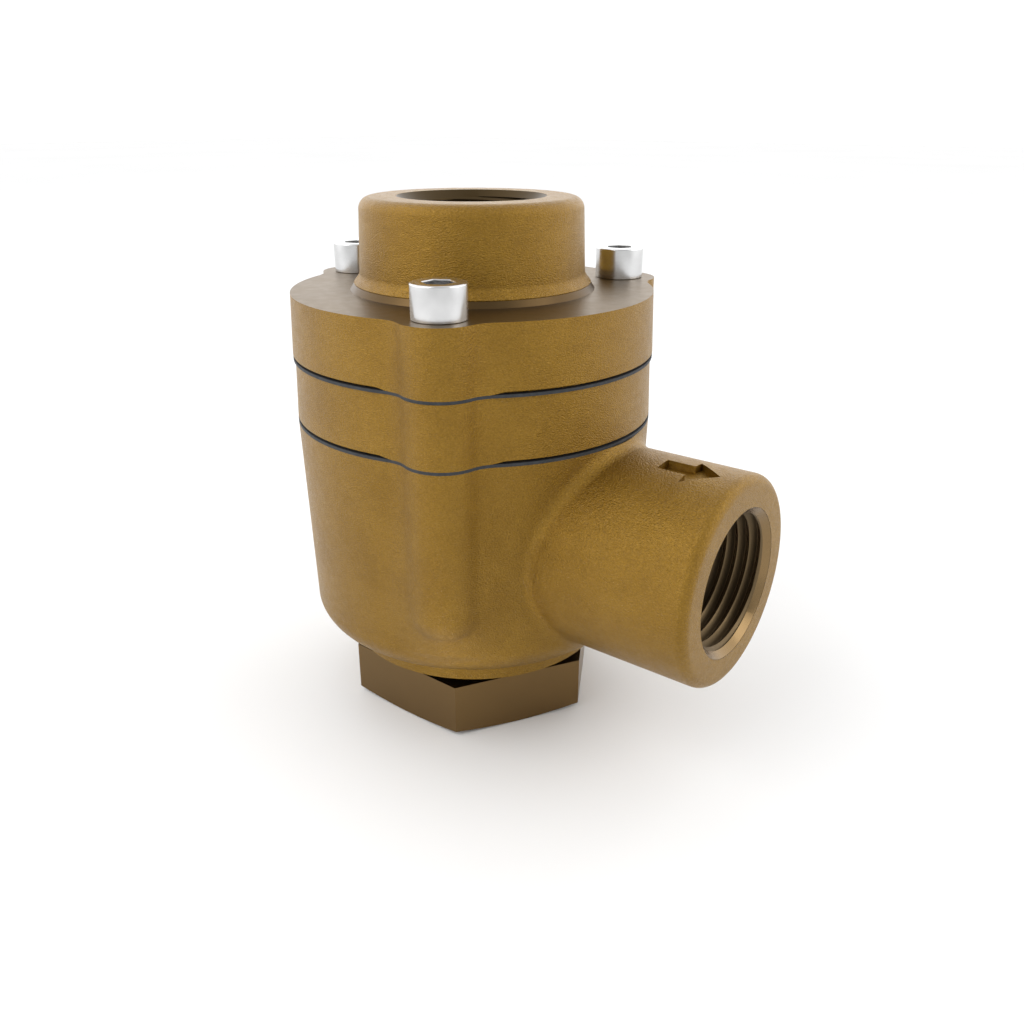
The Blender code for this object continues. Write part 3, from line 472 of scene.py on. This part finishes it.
def machined_bronze(name, tone_low, tone_high, rough, centre=(0.0, 0.0, 0.0), turn=(0.0, 0.0, 0.0),
                    tool_marks=0.05):
    """Turned face: fine tool rings round an axis through the centre, and slow colour change."""
    nodes = Nodes(name)
    mapping = nodes.add("ShaderNodeMapping", vector_type="TEXTURE")
    nodes.feed(mapping, "Vector", nodes.place)
    mapping.inputs["Location"].default_value = centre
    mapping.inputs["Rotation"].default_value = turn
    rings = nodes.add("ShaderNodeTexWave", wave_type="RINGS", rings_direction="Z")
    nodes.feed(rings, "Vector", mapping.outputs["Vector"])
    rings.inputs["Scale"].default_value = 900.0
    rings.inputs["Distortion"].default_value = 0.4
    rings.inputs["Detail"].default_value = 1.0
    tone = nodes.ramp(nodes.noise(70, 2), [(0.3, tone_low), (0.7, tone_high)])
    nodes.set(Base_Color=tone, Metallic=1.0,
              Roughness=nodes.spread(nodes.noise(500, 2), 0.3, 0.7, rough, rough + 0.05))
    nodes.set(Normal=nodes.bump(rings.outputs["Fac"], tool_marks, 0.00002))
    return nodes.material


def stainless(name, rough, tone_low, tone_high):
    """Grey steel with a fine grain drawn out round the axis."""
    nodes = Nodes(name)
    tone = nodes.ramp(nodes.noise(300, 2), [(0.3, grey(tone_low)), (0.7, grey(tone_high))])
    nodes.set(Base_Color=tone, Metallic=1.0,
              Roughness=nodes.spread(nodes.noise(1200, 3, stretch=(1, 1, 8)), 0.3, 0.7, rough, rough + 0.08))
    nodes.set(Normal=nodes.bump(nodes.noise(1500, 2, stretch=(1, 1, 12)), 0.05, 0.00003))
    return nodes.material


def gasket_sheet():
    """Dark graphite sheet with a fibrous cut edge."""
    nodes = Nodes("gasket_sheet")
    tone = nodes.ramp(nodes.noise(1800, 3), [(0.3, (0.012, 0.014, 0.017)), (0.7, (0.028, 0.032, 0.037))])
    nodes.set(Base_Color=tone, Metallic=0.0, Roughness=nodes.spread(nodes.noise(900, 2), 0.3, 0.7, 0.6, 0.8))
    nodes.set(Normal=nodes.bump(nodes.noise(3000, 3), 0.3, 0.00008))
    return nodes.material


def soft_copper():
    """Annealed copper with a slow colour change."""
    nodes = Nodes("soft_copper")
    tone = nodes.ramp(nodes.noise(400, 3), [(0.3, (0.55, 0.24, 0.13)), (0.7, (0.70, 0.34, 0.20))])
    nodes.set(Base_Color=tone, Metallic=1.0,
              Roughness=nodes.spread(nodes.noise(800, 2), 0.3, 0.7, 0.28, 0.42))
    nodes.set(Normal=nodes.bump(nodes.noise(1500, 2), 0.1, 0.00005))
    return nodes.material


def floor_paint():
    """Pale matt floor, almost even."""
    nodes = Nodes("studio_floor")
    tone = nodes.ramp(nodes.noise(3, 2), [(0.3, grey(0.82)), (0.7, grey(0.84))])
    nodes.set(Base_Color=tone, Roughness=nodes.spread(nodes.noise(40, 2), 0.3, 0.7, 0.75, 0.85))
    return nodes.material


PORT_AXIS = dict(centre=(0.0, 0.0, PORT_Z * MM), turn=(0.0, math.radians(90), 0.0))

CAST = cast_bronze()
FACED = machined_bronze("machined_bronze", (0.146, 0.099, 0.048), (0.164, 0.112, 0.056), 0.37,
                        tool_marks=0.02)
# lighter copy of the machined bronze: painted highlight on the outlet mouth's bevel
LIT_BEVEL = machined_bronze("machined_bevel_painted_highlight", (0.205, 0.134, 0.062), (0.230, 0.152, 0.072), 0.24, **PORT_AXIS)
# darker copy of the machined bronze: painted shade in the corner at the boss's foot
SHADED_CONE = machined_bronze("machined_cone_painted_shade", (0.088, 0.054, 0.023), (0.102, 0.064, 0.028), 0.32)
# darker copy of the machined bronze: painted shade inside the outlet bore and its thread
SHADED_THREAD = machined_bronze("thread_bronze_painted_shade", (0.115, 0.080, 0.042), (0.140, 0.098, 0.052), 0.42, **PORT_AXIS)
# much darker copy of the machined bronze: painted shade down the inlet's bore and thread
SHADED_INLET_THREAD = machined_bronze("inlet_thread_bronze_painted_shade", (0.060, 0.040, 0.018), (0.075, 0.050, 0.023), 0.38)
HEX_BRONZE = machined_bronze("plug_bronze", (0.166, 0.104, 0.043), (0.176, 0.110, 0.046), 0.30,
                             tool_marks=0.02)
STEEL = stainless("stainless_steel", 0.19, 0.60, 0.68)
SHEET_STEEL = stainless("pressed_steel", 0.26, 0.45, 0.55)
GASKET = gasket_sheet()
COPPER = soft_copper()


# ------------------------------------------------------------------ body casting

def body_casting():
    """Body skin.

    The wall is a grid over angle and height. Round the port the grid's window
    is filled by rows that run from the window's border to the edge where port
    and wall would meet, then out along the port, and are dropped onto the
    body's rule; further rows carry the port to its rounded rim and face.
    """
    window = math.radians(50)
    columns = 80
    step = 2 * window / columns
    turns = np.arange(round(2 * math.pi / step)) * step - window
    sill, middle = LAND_TOP + 1.2, 33.0         # rows stand closer below the middle
    foot = np.concatenate([np.linspace(LAND_Z, LAND_TOP, 5), np.linspace(LAND_TOP, sill, 7)[1:]])
    rise = np.concatenate([np.linspace(sill, middle, 52), np.linspace(middle, BODY_TOP, 44)[1:]])
    lower = wall_grid(cup_rule, turns[None, :], foot[:, None])
    open_turns = turns[columns:]
    upper = wall_grid(body_rule, np.append(open_turns, turns[0] + 2 * math.pi)[None, :], rise[:, None])

    across = turns[:columns + 1]
    border = np.concatenate([
        wall_grid(body_rule, across, np.full(columns + 1, rise[0]))[:-1],
        wall_grid(body_rule, np.full(len(rise), across[-1]), rise)[:-1],
        wall_grid(body_rule, across, np.full(columns + 1, rise[-1]))[::-1][:-1],
        wall_grid(body_rule, np.full(len(rise), across[0]), rise)[::-1][:-1],
    ])
    spin = np.arctan2(border[:, 2] - PORT_Z, border[:, 1])
    edge_y, edge_z = PORT_RADIUS * np.cos(spin), PORT_Z + PORT_RADIUS * np.sin(spin)
    edge_r = BODY_RADIUS + math.tan(BODY_DRAFT) * (edge_z - BODY_TOP)
    border_r = np.hypot(border[:, 0], border[:, 1])

    share = np.linspace(0, 1, 16)[:, None]
    y = border[:, 1] + (edge_y - border[:, 1]) * share
    z = border[:, 2] + (edge_z - border[:, 2]) * share
    r = border_r + (edge_r - border_r) * share
    towards = np.stack([np.sqrt(np.maximum(r ** 2 - y ** 2, 0)), y, z], -1)
    neck = BODY_RADIUS + PORT_FILLET + 0.6      # past this the port is a plain cylinder
    share = np.linspace(0, 1, 20)[1:, None]
    x = towards[-1, :, 0] + (neck - towards[-1, :, 0]) * share
    outwards = np.stack([x, edge_y + 0 * x, edge_z + 0 * x], -1)
    patch = np.concatenate([towards, outwards])
    patch[1:] = drop_onto(body_rule, patch[1:])
    patch[1:, :, 2] = np.minimum(patch[1:, :, 2], BODY_TOP)
    patch[-1] = outwards[-1]

    rim = rounded([(PORT_RADIUS, neck, 0), (PORT_RADIUS, PORT_FACE, PORT_RIM),
                   (OUTLET_MOUTH + 1.5, PORT_FACE, 0), (0, PORT_FACE, 0)], 10)
    straight = np.stack([np.full(24, PORT_RADIUS), np.linspace(neck, rim[1, 1], 24)], -1)
    port = turned(np.concatenate([straight[:-1], rim[1:-2]]), spin, "x", PORT_Z)
    face = turned(rim[-3:], spin, "x", PORT_Z)

    floor = turned(np.array([(0.0, LAND_Z), (LAND_RADIUS / 2, LAND_Z)]), turns)
    floor = np.concatenate([floor, lower[:1]])
    lid_upper = np.concatenate([upper[-1:], upper[-1:] * [0, 0, 1]])
    corner = columns + len(rise) - 1
    lid_border = patch[0][corner:corner + columns + 1]
    lid_border = np.concatenate([lid_border[None], lid_border[None] * [0, 0, 1]])
    return solid("body_casting", [
        (floor, True, 1), (lower, True, 0), (upper, False, 0), (patch, True, 0), (port, True, 0),
        (face, True, 0), (lid_upper, False, 1), (lid_border, False, 1)], [CAST, FACED])


def flow_arrow():
    """Arrow sunk in the top of the port: a flat outline swept from its floor upwards."""
    start, length, head = 43.4, 10.8, 5.5
    half_shaft, half_head, offset = 1.9, 4.2, -1.7
    depth, above = 0.45, PORT_Z + PORT_RADIUS + 3
    outline = np.array([(start, -half_shaft), (start + length - head, -half_shaft),
                        (start + length - head, -half_head), (start + length, 0),
                        (start + length - head, half_head), (start + length - head, half_shaft),
                        (start, half_shaft)])
    floor_z = PORT_Z + math.sqrt(PORT_RADIUS ** 2 - (half_head - offset) ** 2) - depth
    flat = outline + [0, offset]
    centre = np.tile([start + length / 2, offset], (len(flat), 1))
    rows = [np.column_stack([ring, np.full(len(flat), z)])
            for ring, z in ((centre, floor_z), (flat, floor_z), (flat, above), (centre, above))]
    return solid("flow_arrow", [(np.array(rows), True, 0)], [CAST])


def round_cutter(name, path, material, axis="z", height=0.0):
    """Solid turned from a path round the axis, to be cut out of a casting."""
    spin = full_turn(160)
    return solid(name, [(turned(np.array(path, float), spin, axis, height), True, 0)], [material])


def body_cutters():
    """Chamber from the plug's hole up to the joint face, outlet bore, and the arrow."""
    below, above = LAND_Z - OVERCUT, BODY_TOP + OVERCUT
    hole_top, chamber_floor = LAND_Z + 8, LAND_Z + 11.5
    register = BODY_TOP - 3
    chamber = [(0, below), (PLUG_HOLE_RADIUS, below), (PLUG_HOLE_RADIUS, hole_top),
               (CHAMBER_RADIUS, chamber_floor), (CHAMBER_RADIUS, register),
               (REGISTER_RADIUS, register), (REGISTER_RADIUS, above), (0, above)]
    core_start, outside = 2, PORT_FACE + OVERCUT
    bore = [(0, core_start), (OUTLET_CORE_RADIUS, core_start), (OUTLET_CORE_RADIUS, OUTLET_CORE_END),
            (OUTLET_MOUTH, OUTLET_CORE_END), (OUTLET_MOUTH, outside), (0, outside)]
    return [round_cutter("chamber", chamber, FACED),
            round_cutter("outlet_bore", bore, SHADED_THREAD, "x", PORT_Z),
            flow_arrow()]


body_piece = carve(body_casting(), body_cutters())
settle(body_piece, "housing", "cast_bronze", "body")


# ------------------------------------------------------------------ threads

def thread_sleeve(name, face, depth, mouth, materials, axis="z", height=0.0):
    """Tapped sleeve: radius follows a flat-topped triangle wave of (distance / pitch - turn).

    The wave grows from nothing at the sleeve's far end. The 45 degree bevel of
    the mouth cuts across the thread, and the back of the sleeve is a plain
    cylinder just inside the bore it stands in.
    """
    columns, per_pitch = 144, 16
    flat = 0.06                 # share of the wave cut off at its crest and at its root
    run_out = 1.0
    into_bevel = 0.5            # how far the thread's grid reaches up the bevel
    lip = 0.02
    end = face - depth
    high = face - (mouth - THREAD_MINOR) + into_bevel
    rows = int((high - end) / THREAD_PITCH * per_pitch) + 2 * per_pitch
    around = np.linspace(0, 2 * math.pi, columns + 1)
    steps = np.arange(-per_pitch, rows)[:, None] / per_pitch
    along = np.clip(end + (steps + around / (2 * math.pi)) * THREAD_PITCH, end, high)
    phase = (along - end) / THREAD_PITCH - around / (2 * math.pi)
    wave = np.clip(np.abs((phase % 1.0) * 2 - 1) * (1 + 2 * flat) - flat, 0, 1)
    fade = np.clip((along - end) / run_out, 0, 1)
    r = THREAD_MINOR + (THREAD_MAJOR - THREAD_MINOR) * wave * fade
    r = np.where(along >= high - 1e-9, 0, r)
    r = np.maximum(r, mouth - (face - along))
    inner = np.stack([r * np.cos(around), r * np.sin(around), along], -1)

    bevel_end = (mouth - 2 * lip, face - 2 * lip)
    lip_end = (mouth - lip, face - 3 * lip)
    spin = full_turn(columns)
    bevel = turned(np.array([(mouth - (face - high), high), bevel_end]), spin)
    edge = turned(np.array([bevel_end, lip_end]), spin)
    back = turned(np.array([lip_end, (mouth - lip, end), (THREAD_MINOR, end)]), spin)
    grids = [(inner, False, 0), (bevel, True, 1), (edge, True, 1), (back, True, 0)]
    if axis == "x":
        grids = [(np.stack([g[..., 2], g[..., 0], g[..., 1] + height], -1), wraps, slot)
                 for g, wraps, slot in grids]
    return solid(name, grids, materials, sharp=40, weld=4e-6)


# the thread takes the darker copy with painted shade, the mouth's bevel the lighter copy with painted
# highlight
outlet_thread = thread_sleeve("outlet_thread", PORT_FACE, OUTLET_THREAD_DEPTH, OUTLET_MOUTH,
                              (SHADED_THREAD, LIT_BEVEL), "x", PORT_Z)
settle(outlet_thread, "housing", "machined_bronze")
# the inlet's thread takes the darkest copy, with painted shade
inlet_thread = thread_sleeve("inlet_thread", INLET_TOP, INLET_THREAD_DEPTH, INLET_MOUTH,
                             (SHADED_INLET_THREAD, SHADED_INLET_THREAD))
settle(inlet_thread, "housing", "machined_bronze")


# ------------------------------------------------------------------ middle ring, cover, gaskets

TURNS = full_turn(360)


def lobe_gap(turns):
    """Angle from the nearest lobe."""
    pitch = 2 * math.pi / 3
    return np.abs((turns - LOBE_TURNS[0] + pitch / 2) % pitch - pitch / 2)


def skirt(rule, low, high, rows=16):
    """Wall of a ring casting, with its lower edge set back between the lobes.

    The set-back grows from nothing beside a lobe to its full size by the smooth
    step s s (3 - 2 s) of the angle.
    """
    lobe_half, blend = math.radians(14), math.radians(5)
    step_height, step_depth = 0.5, 1.2
    share = np.clip((lobe_gap(TURNS) - lobe_half) / blend, 0, 1)
    share = share * share * (3 - 2 * share)
    heights = np.empty((rows + 2, len(TURNS)))
    heights[0] = low
    heights[1] = low + step_height * share
    heights[2:] = heights[1] + (high - heights[1]) * np.linspace(0, 1, rows)[:, None]
    skin = wall_grid(rule, TURNS[None, :], heights)
    r = np.hypot(skin[:2, :, 0], skin[:2, :, 1])
    skin[:2, :, :2] *= ((r - step_depth * share) / r)[..., None]
    return skin


def ring_casting():
    """Lobed skin outside, and a stepped bore turned round the axis."""
    skin = skirt(skin_rule(RING_Z), RING_Z, RING_TOP)
    ledge = RING_TOP - 1.9
    bore = turned(np.array([(REGISTER_RADIUS, RING_TOP), (REGISTER_RADIUS, ledge),
                            (CHAMBER_RADIUS, ledge), (CHAMBER_RADIUS, RING_Z)]), TURNS)
    grids = [(skin, True, 0), (np.stack([skin[-1], bore[0]]), True, 1), (bore, True, 1),
             (np.stack([bore[-1], skin[0]]), True, 1)]
    return solid("ring_casting", grids, [CAST, FACED])


def cover_casting():
    """Flange skin, machined flange top, coned foot and upright boss, hollow inside."""
    skin = skirt(skin_rule(COVER_Z), COVER_Z, FLANGE_Z)
    foot = turned(np.array([(CONE_RADIUS, FLANGE_Z), (CONE_TOP_RADIUS, FLANGE_Z + CONE_HEIGHT)]), TURNS)
    share = np.linspace(0, 1, 6)[:, None, None]
    top = skin[-1] + (foot[0] - skin[-1]) * share

    cast_edge = (BOSS_RADIUS + 1.2, FLANGE_Z + 1.25, 0.1)
    wall_foot = (BOSS_RADIUS + 0.05, FLANGE_Z + 2.7, 1.6)
    rim_radius = INLET_MOUTH + 2.2
    side = rounded([(CONE_TOP_RADIUS, FLANGE_Z + CONE_HEIGHT, 0), cast_edge, wall_foot,
                    (BOSS_TOP_RADIUS, INLET_TOP, BOSS_ROUND), (rim_radius, INLET_TOP, 0)], 12)
    shape = turned(side, TURNS)
    rim = turned(np.array([(rim_radius, INLET_TOP), (INLET_MOUTH, INLET_TOP)]), TURNS)

    thread_end, strainer_ledge, throat_foot, dome_foot = 87.0, 85.45, 83.05, COVER_Z + 3.6
    strainer_radius, throat_radius = 12.06, 10.4
    dome_top = (14.6, 81.35)
    inside = turned(np.array([(INLET_MOUTH, INLET_TOP), (INLET_MOUTH, thread_end),
                              (strainer_radius, thread_end), (strainer_radius, strainer_ledge),
                              (throat_radius, strainer_ledge), (throat_radius, throat_foot),
                              dome_top, (CHAMBER_RADIUS, dome_foot), (CHAMBER_RADIUS, COVER_Z)]), TURNS)
    under = np.stack([inside[-1], skin[0]])
    return solid("cover_casting", [(skin, True, 0), (top, True, 1), (foot, True, 2), (shape, True, 0),
                                   (rim, True, 0), (inside, True, 1), (under, True, 1)],
                 [CAST, FACED, SHADED_CONE])


def joint_gasket(name, low, high, radius):
    """Flat sheet with the lobed outline and a round hole, just clear of both castings."""
    low, high = low + GASKET_GAP, high - GASKET_GAP
    edge = wall_grid(skin_rule(low, radius, 0.0), TURNS[None, :], np.array([low, high])[:, None])
    hole = turned(np.array([(GASKET_HOLE_RADIUS, high), (GASKET_HOLE_RADIUS, low)]), TURNS)
    return solid(name, [(edge, True, 0), (np.stack([edge[1], hole[0]]), True, 0), (hole, True, 0),
                        (np.stack([hole[1], edge[0]]), True, 0)], [GASKET])


settle(ring_casting(), "housing", "cast_bronze", "middle_ring")
settle(cover_casting(), "housing", "cast_bronze", "inlet_cover")
settle(joint_gasket("lower_joint_sheet", BODY_TOP, RING_Z, LOWER_GASKET_RADIUS), "housing", "gasket",
       "lower_gasket")
settle(joint_gasket("upper_joint_sheet", RING_TOP, COVER_Z, UPPER_GASKET_RADIUS), "housing", "gasket",
       "upper_gasket")


# ------------------------------------------------------------------ screws and plug

def hexagon_reach(turns, across_flats, start=0.0):
    """Distance from a hexagon's centre to its edge.

    It is half the width across flats over the cosine of the angle from the
    middle of the nearest side.
    """
    pitch = math.pi / 3
    away = (turns - start) % pitch - pitch / 2
    return across_flats / 2 / np.cos(away)


def socket_screw(name, turn, socket_turn):
    """Cap screw: turned outside, and a hexagon socket let into the head."""
    spin = full_turn(120)
    head_radius, shank_radius, tip_radius = 4.62, 3.0, 2.4
    head_foot, head_edge = FLANGE_Z + 0.02, FLANGE_Z + 0.12
    rim_radius, socket_flats = 3.1, 4.6
    outside = rounded([(0, SCREW_TIP, 0), (tip_radius, SCREW_TIP, 0), (shank_radius, SCREW_TIP + 0.6, 0),
                       (shank_radius, head_foot, 0), (head_radius - 0.1, head_foot, 0),
                       (head_radius, head_edge, 0), (head_radius, SCREW_TOP, 0.3),
                       (rim_radius, SCREW_TOP, 0)], 5)
    shape = turned(outside, spin)
    hexagon = hexagon_reach(spin, socket_flats, socket_turn)
    rows = []       # bevelled mouth, upright walls and a drill point
    for scale, depth in ((1.06, 0), (1.0, 0.15), (1.0, 3.0), (0.0, 4.1)):
        rows.append(np.stack([hexagon * scale * np.cos(spin), hexagon * scale * np.sin(spin),
                              np.full(len(spin), SCREW_TOP - depth)], -1))
    socket = np.array(rows)
    grids = [shape, np.stack([shape[-1], socket[0]]), socket]
    shift = np.array([SCREW_CIRCLE * math.cos(turn), SCREW_CIRCLE * math.sin(turn), 0])
    return solid(name, [(g + shift, True, 0) for g in grids], [STEEL], sharp=28)


for number, (turn, socket_turn) in enumerate(zip(LOBE_TURNS, (0.30, 0.52, 0.12)), start=1):
    settle(socket_screw(f"socket_screw_{number}", turn, socket_turn), "housing", "stainless",
           f"cap_screw_{number}")


def hexagon_plug():
    """Hexagon with a coned lower edge, a plain shank and a cup in its top."""
    spin = full_turn(360)
    flats, height = 46.2, 11.2
    bevel_width, bevel_slope = 0.8, math.tan(math.radians(13))
    neck_radius, shank_radius, cup_radius = 20.5, 16.6, 13.0
    cup_floor, edge_round = PLUG_TOP - 8, 0.8
    outline = hexagon_reach(spin, flats)
    inner = flats / 2 - bevel_width
    rows = []
    for share in (0.0, 0.96):
        rows.append(np.stack([inner * share * np.cos(spin), inner * share * np.sin(spin), 0 * spin], -1))
    for share in np.linspace(0, 1, 5):
        r = inner + (outline - inner) * share
        rows.append(np.stack([r * np.cos(spin), r * np.sin(spin), (r - inner) * bevel_slope], -1))
    side = rows[-1]
    rows.append(np.stack([side[:, 0], side[:, 1], np.full(len(spin), height)], -1))
    cone = np.array(rows)
    path = rounded([(neck_radius, height, 0), (shank_radius, height, 0),
                    (shank_radius, PLUG_TOP, edge_round), (cup_radius, PLUG_TOP, 0),
                    (cup_radius, cup_floor, edge_round), (0, cup_floor, 0)], 4)
    shank = turned(path, spin)
    return solid("hexagon_plug", [(cone, True, 0), (np.stack([cone[-1], shank[0]]), True, 0),
                                  (shank, True, 0)], [HEX_BRONZE], sharp=20)


settle(hexagon_plug(), "housing", "machined_bronze", "bottom_plug")


# ------------------------------------------------------------------ solids that keep their shape

KEPT = {
    "plug_gasket": GASKET, "strainer_disc": SHEET_STEEL, "strainer_snap_ring": SHEET_STEEL,
    "element_carrier": FACED, "capsule_stud": STEEL, "lock_washer": SHEET_STEEL, "lock_nut": STEEL,
    "thermostatic_capsule": SHEET_STEEL, "valve_head": STEEL, "valve_seat": STEEL,
    "seat_washer": COPPER, "seat_plate": FACED,
}
for node, material in KEPT.items():
    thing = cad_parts[node]
    thing.data.materials.clear()
    thing.data.materials.append(material)


# ------------------------------------------------------------------ floor, light, camera

VIEW_AZIMUTH = math.radians(-50.0)      # the side on which the camera stands, from +X


def studio_floor():
    """Square floor 8 m wide, facing up."""
    half = 4000.0
    corners = np.array([[[-half, -half, 0], [half, -half, 0]], [[-half, half, 0], [half, half, 0]]])
    floor = solid("studio_floor", [(corners, False, 0)], [floor_paint()])
    if floor.data.polygons[0].normal.z < 0:
        floor.data.flip_normals()


def soft_light(name, azimuth, elevation, distance, size, power, target=(0, 0, 0.05)):
    """Rectangular soft light, aimed at the target; azimuth is measured from +X."""
    lamp = bpy.data.lights.new(name, "AREA")
    lamp.shape = "RECTANGLE"
    lamp.size, lamp.size_y = size
    lamp.energy = power
    thing = bpy.data.objects.new(name, lamp)
    around, up = math.radians(azimuth), math.radians(elevation)
    aim = Vector((math.cos(up) * math.cos(around), math.cos(up) * math.sin(around), math.sin(up)))
    thing.location = Vector(target) + aim * distance
    thing.rotation_euler = aim.to_track_quat("Z", "Y").to_euler()
    bpy.context.scene.collection.objects.link(thing)
    return thing


def studio_world():
    """White studio, brightest behind the object, weaker behind the camera and overhead."""
    world = bpy.data.worlds.new("studio")
    bpy.context.scene.world = world
    world.use_nodes = True
    tree = world.node_tree
    background = tree.nodes["Background"]
    place = tree.nodes.new("ShaderNodeTexCoord")
    front = tree.nodes.new("ShaderNodeVectorMath")
    front.operation = "DOT_PRODUCT"
    tree.links.new(place.outputs["Generated"], front.inputs[0])
    front.inputs[1].default_value = (math.cos(VIEW_AZIMUTH), math.sin(VIEW_AZIMUTH), 0.25)
    level = tree.nodes.new("ShaderNodeMapRange")
    level.interpolation_type = "SMOOTHSTEP"
    tree.links.new(front.outputs["Value"], level.inputs["Value"])
    for socket, value in (("From Min", -0.15), ("From Max", 0.85), ("To Min", 1.85), ("To Max", 0.84)):
        level.inputs[socket].default_value = value
    height = tree.nodes.new("ShaderNodeSeparateXYZ")
    tree.links.new(place.outputs["Generated"], height.inputs["Vector"])
    ceiling = tree.nodes.new("ShaderNodeMapRange")
    tree.links.new(height.outputs["Z"], ceiling.inputs["Value"])
    for socket, value in (("From Min", 0.40), ("From Max", 1.0), ("To Min", 1.0), ("To Max", 0.55)):
        ceiling.inputs[socket].default_value = value
    strength = tree.nodes.new("ShaderNodeMath")
    strength.operation = "MULTIPLY"
    tree.links.new(level.outputs["Result"], strength.inputs[0])
    tree.links.new(ceiling.outputs["Result"], strength.inputs[1])
    background.inputs["Color"].default_value = (1.0, 1.0, 1.0, 1.0)
    tree.links.new(strength.outputs["Value"], background.inputs["Strength"])


def camera():
    """Camera on the near side, a little towards the outlet, looking down at the body."""
    distance, height = 178.49, 113.22
    yaw, pitch, roll = math.radians(2.387), math.radians(23.156), math.radians(0.108)
    ahead = Vector((-math.cos(VIEW_AZIMUTH), -math.sin(VIEW_AZIMUTH), 0))
    right = Vector((-math.sin(VIEW_AZIMUTH), math.cos(VIEW_AZIMUTH), 0))
    forward = ahead * math.cos(yaw) + right * math.sin(yaw)
    side = right * math.cos(yaw) - ahead * math.sin(yaw)
    forward = forward * math.cos(pitch) - Vector((0, 0, 1)) * math.sin(pitch)
    up = side.cross(forward)
    side, up = side * math.cos(roll) + up * math.sin(roll), up * math.cos(roll) - side * math.sin(roll)
    lens = bpy.data.cameras.new("camera")
    lens.sensor_width = 36.0
    lens.lens = 32.75016
    lens.clip_start = 0.005
    lens.clip_end = 20.0
    thing = bpy.data.objects.new("camera", lens)
    place = (-ahead * distance + Vector((0, 0, height))) * MM
    thing.matrix_world = Matrix.Translation(place) @ Matrix((side, up, -forward)).transposed().to_4x4()
    bpy.context.scene.collection.objects.link(thing)
    bpy.context.scene.camera = thing


studio_floor()
# a narrow strip just above the floor, shining up at the body's lower edge
low_card = soft_light("low_card", 0, 0, 0.0, (0.030, 0.0016), 0.0026, (0.021, -0.041, 0.0006))
low_card.rotation_euler = (math.pi, 0.0, math.radians(27))
low_card.visible_camera = False
soft_light("key_light", -110, 42, 0.9, (0.6, 0.6), 3.4)
soft_light("side_light", 20, 30, 0.9, (0.5, 0.7), 1.8)
studio_world()
camera()
bpy.context.scene.view_settings.view_transform = "Standard"
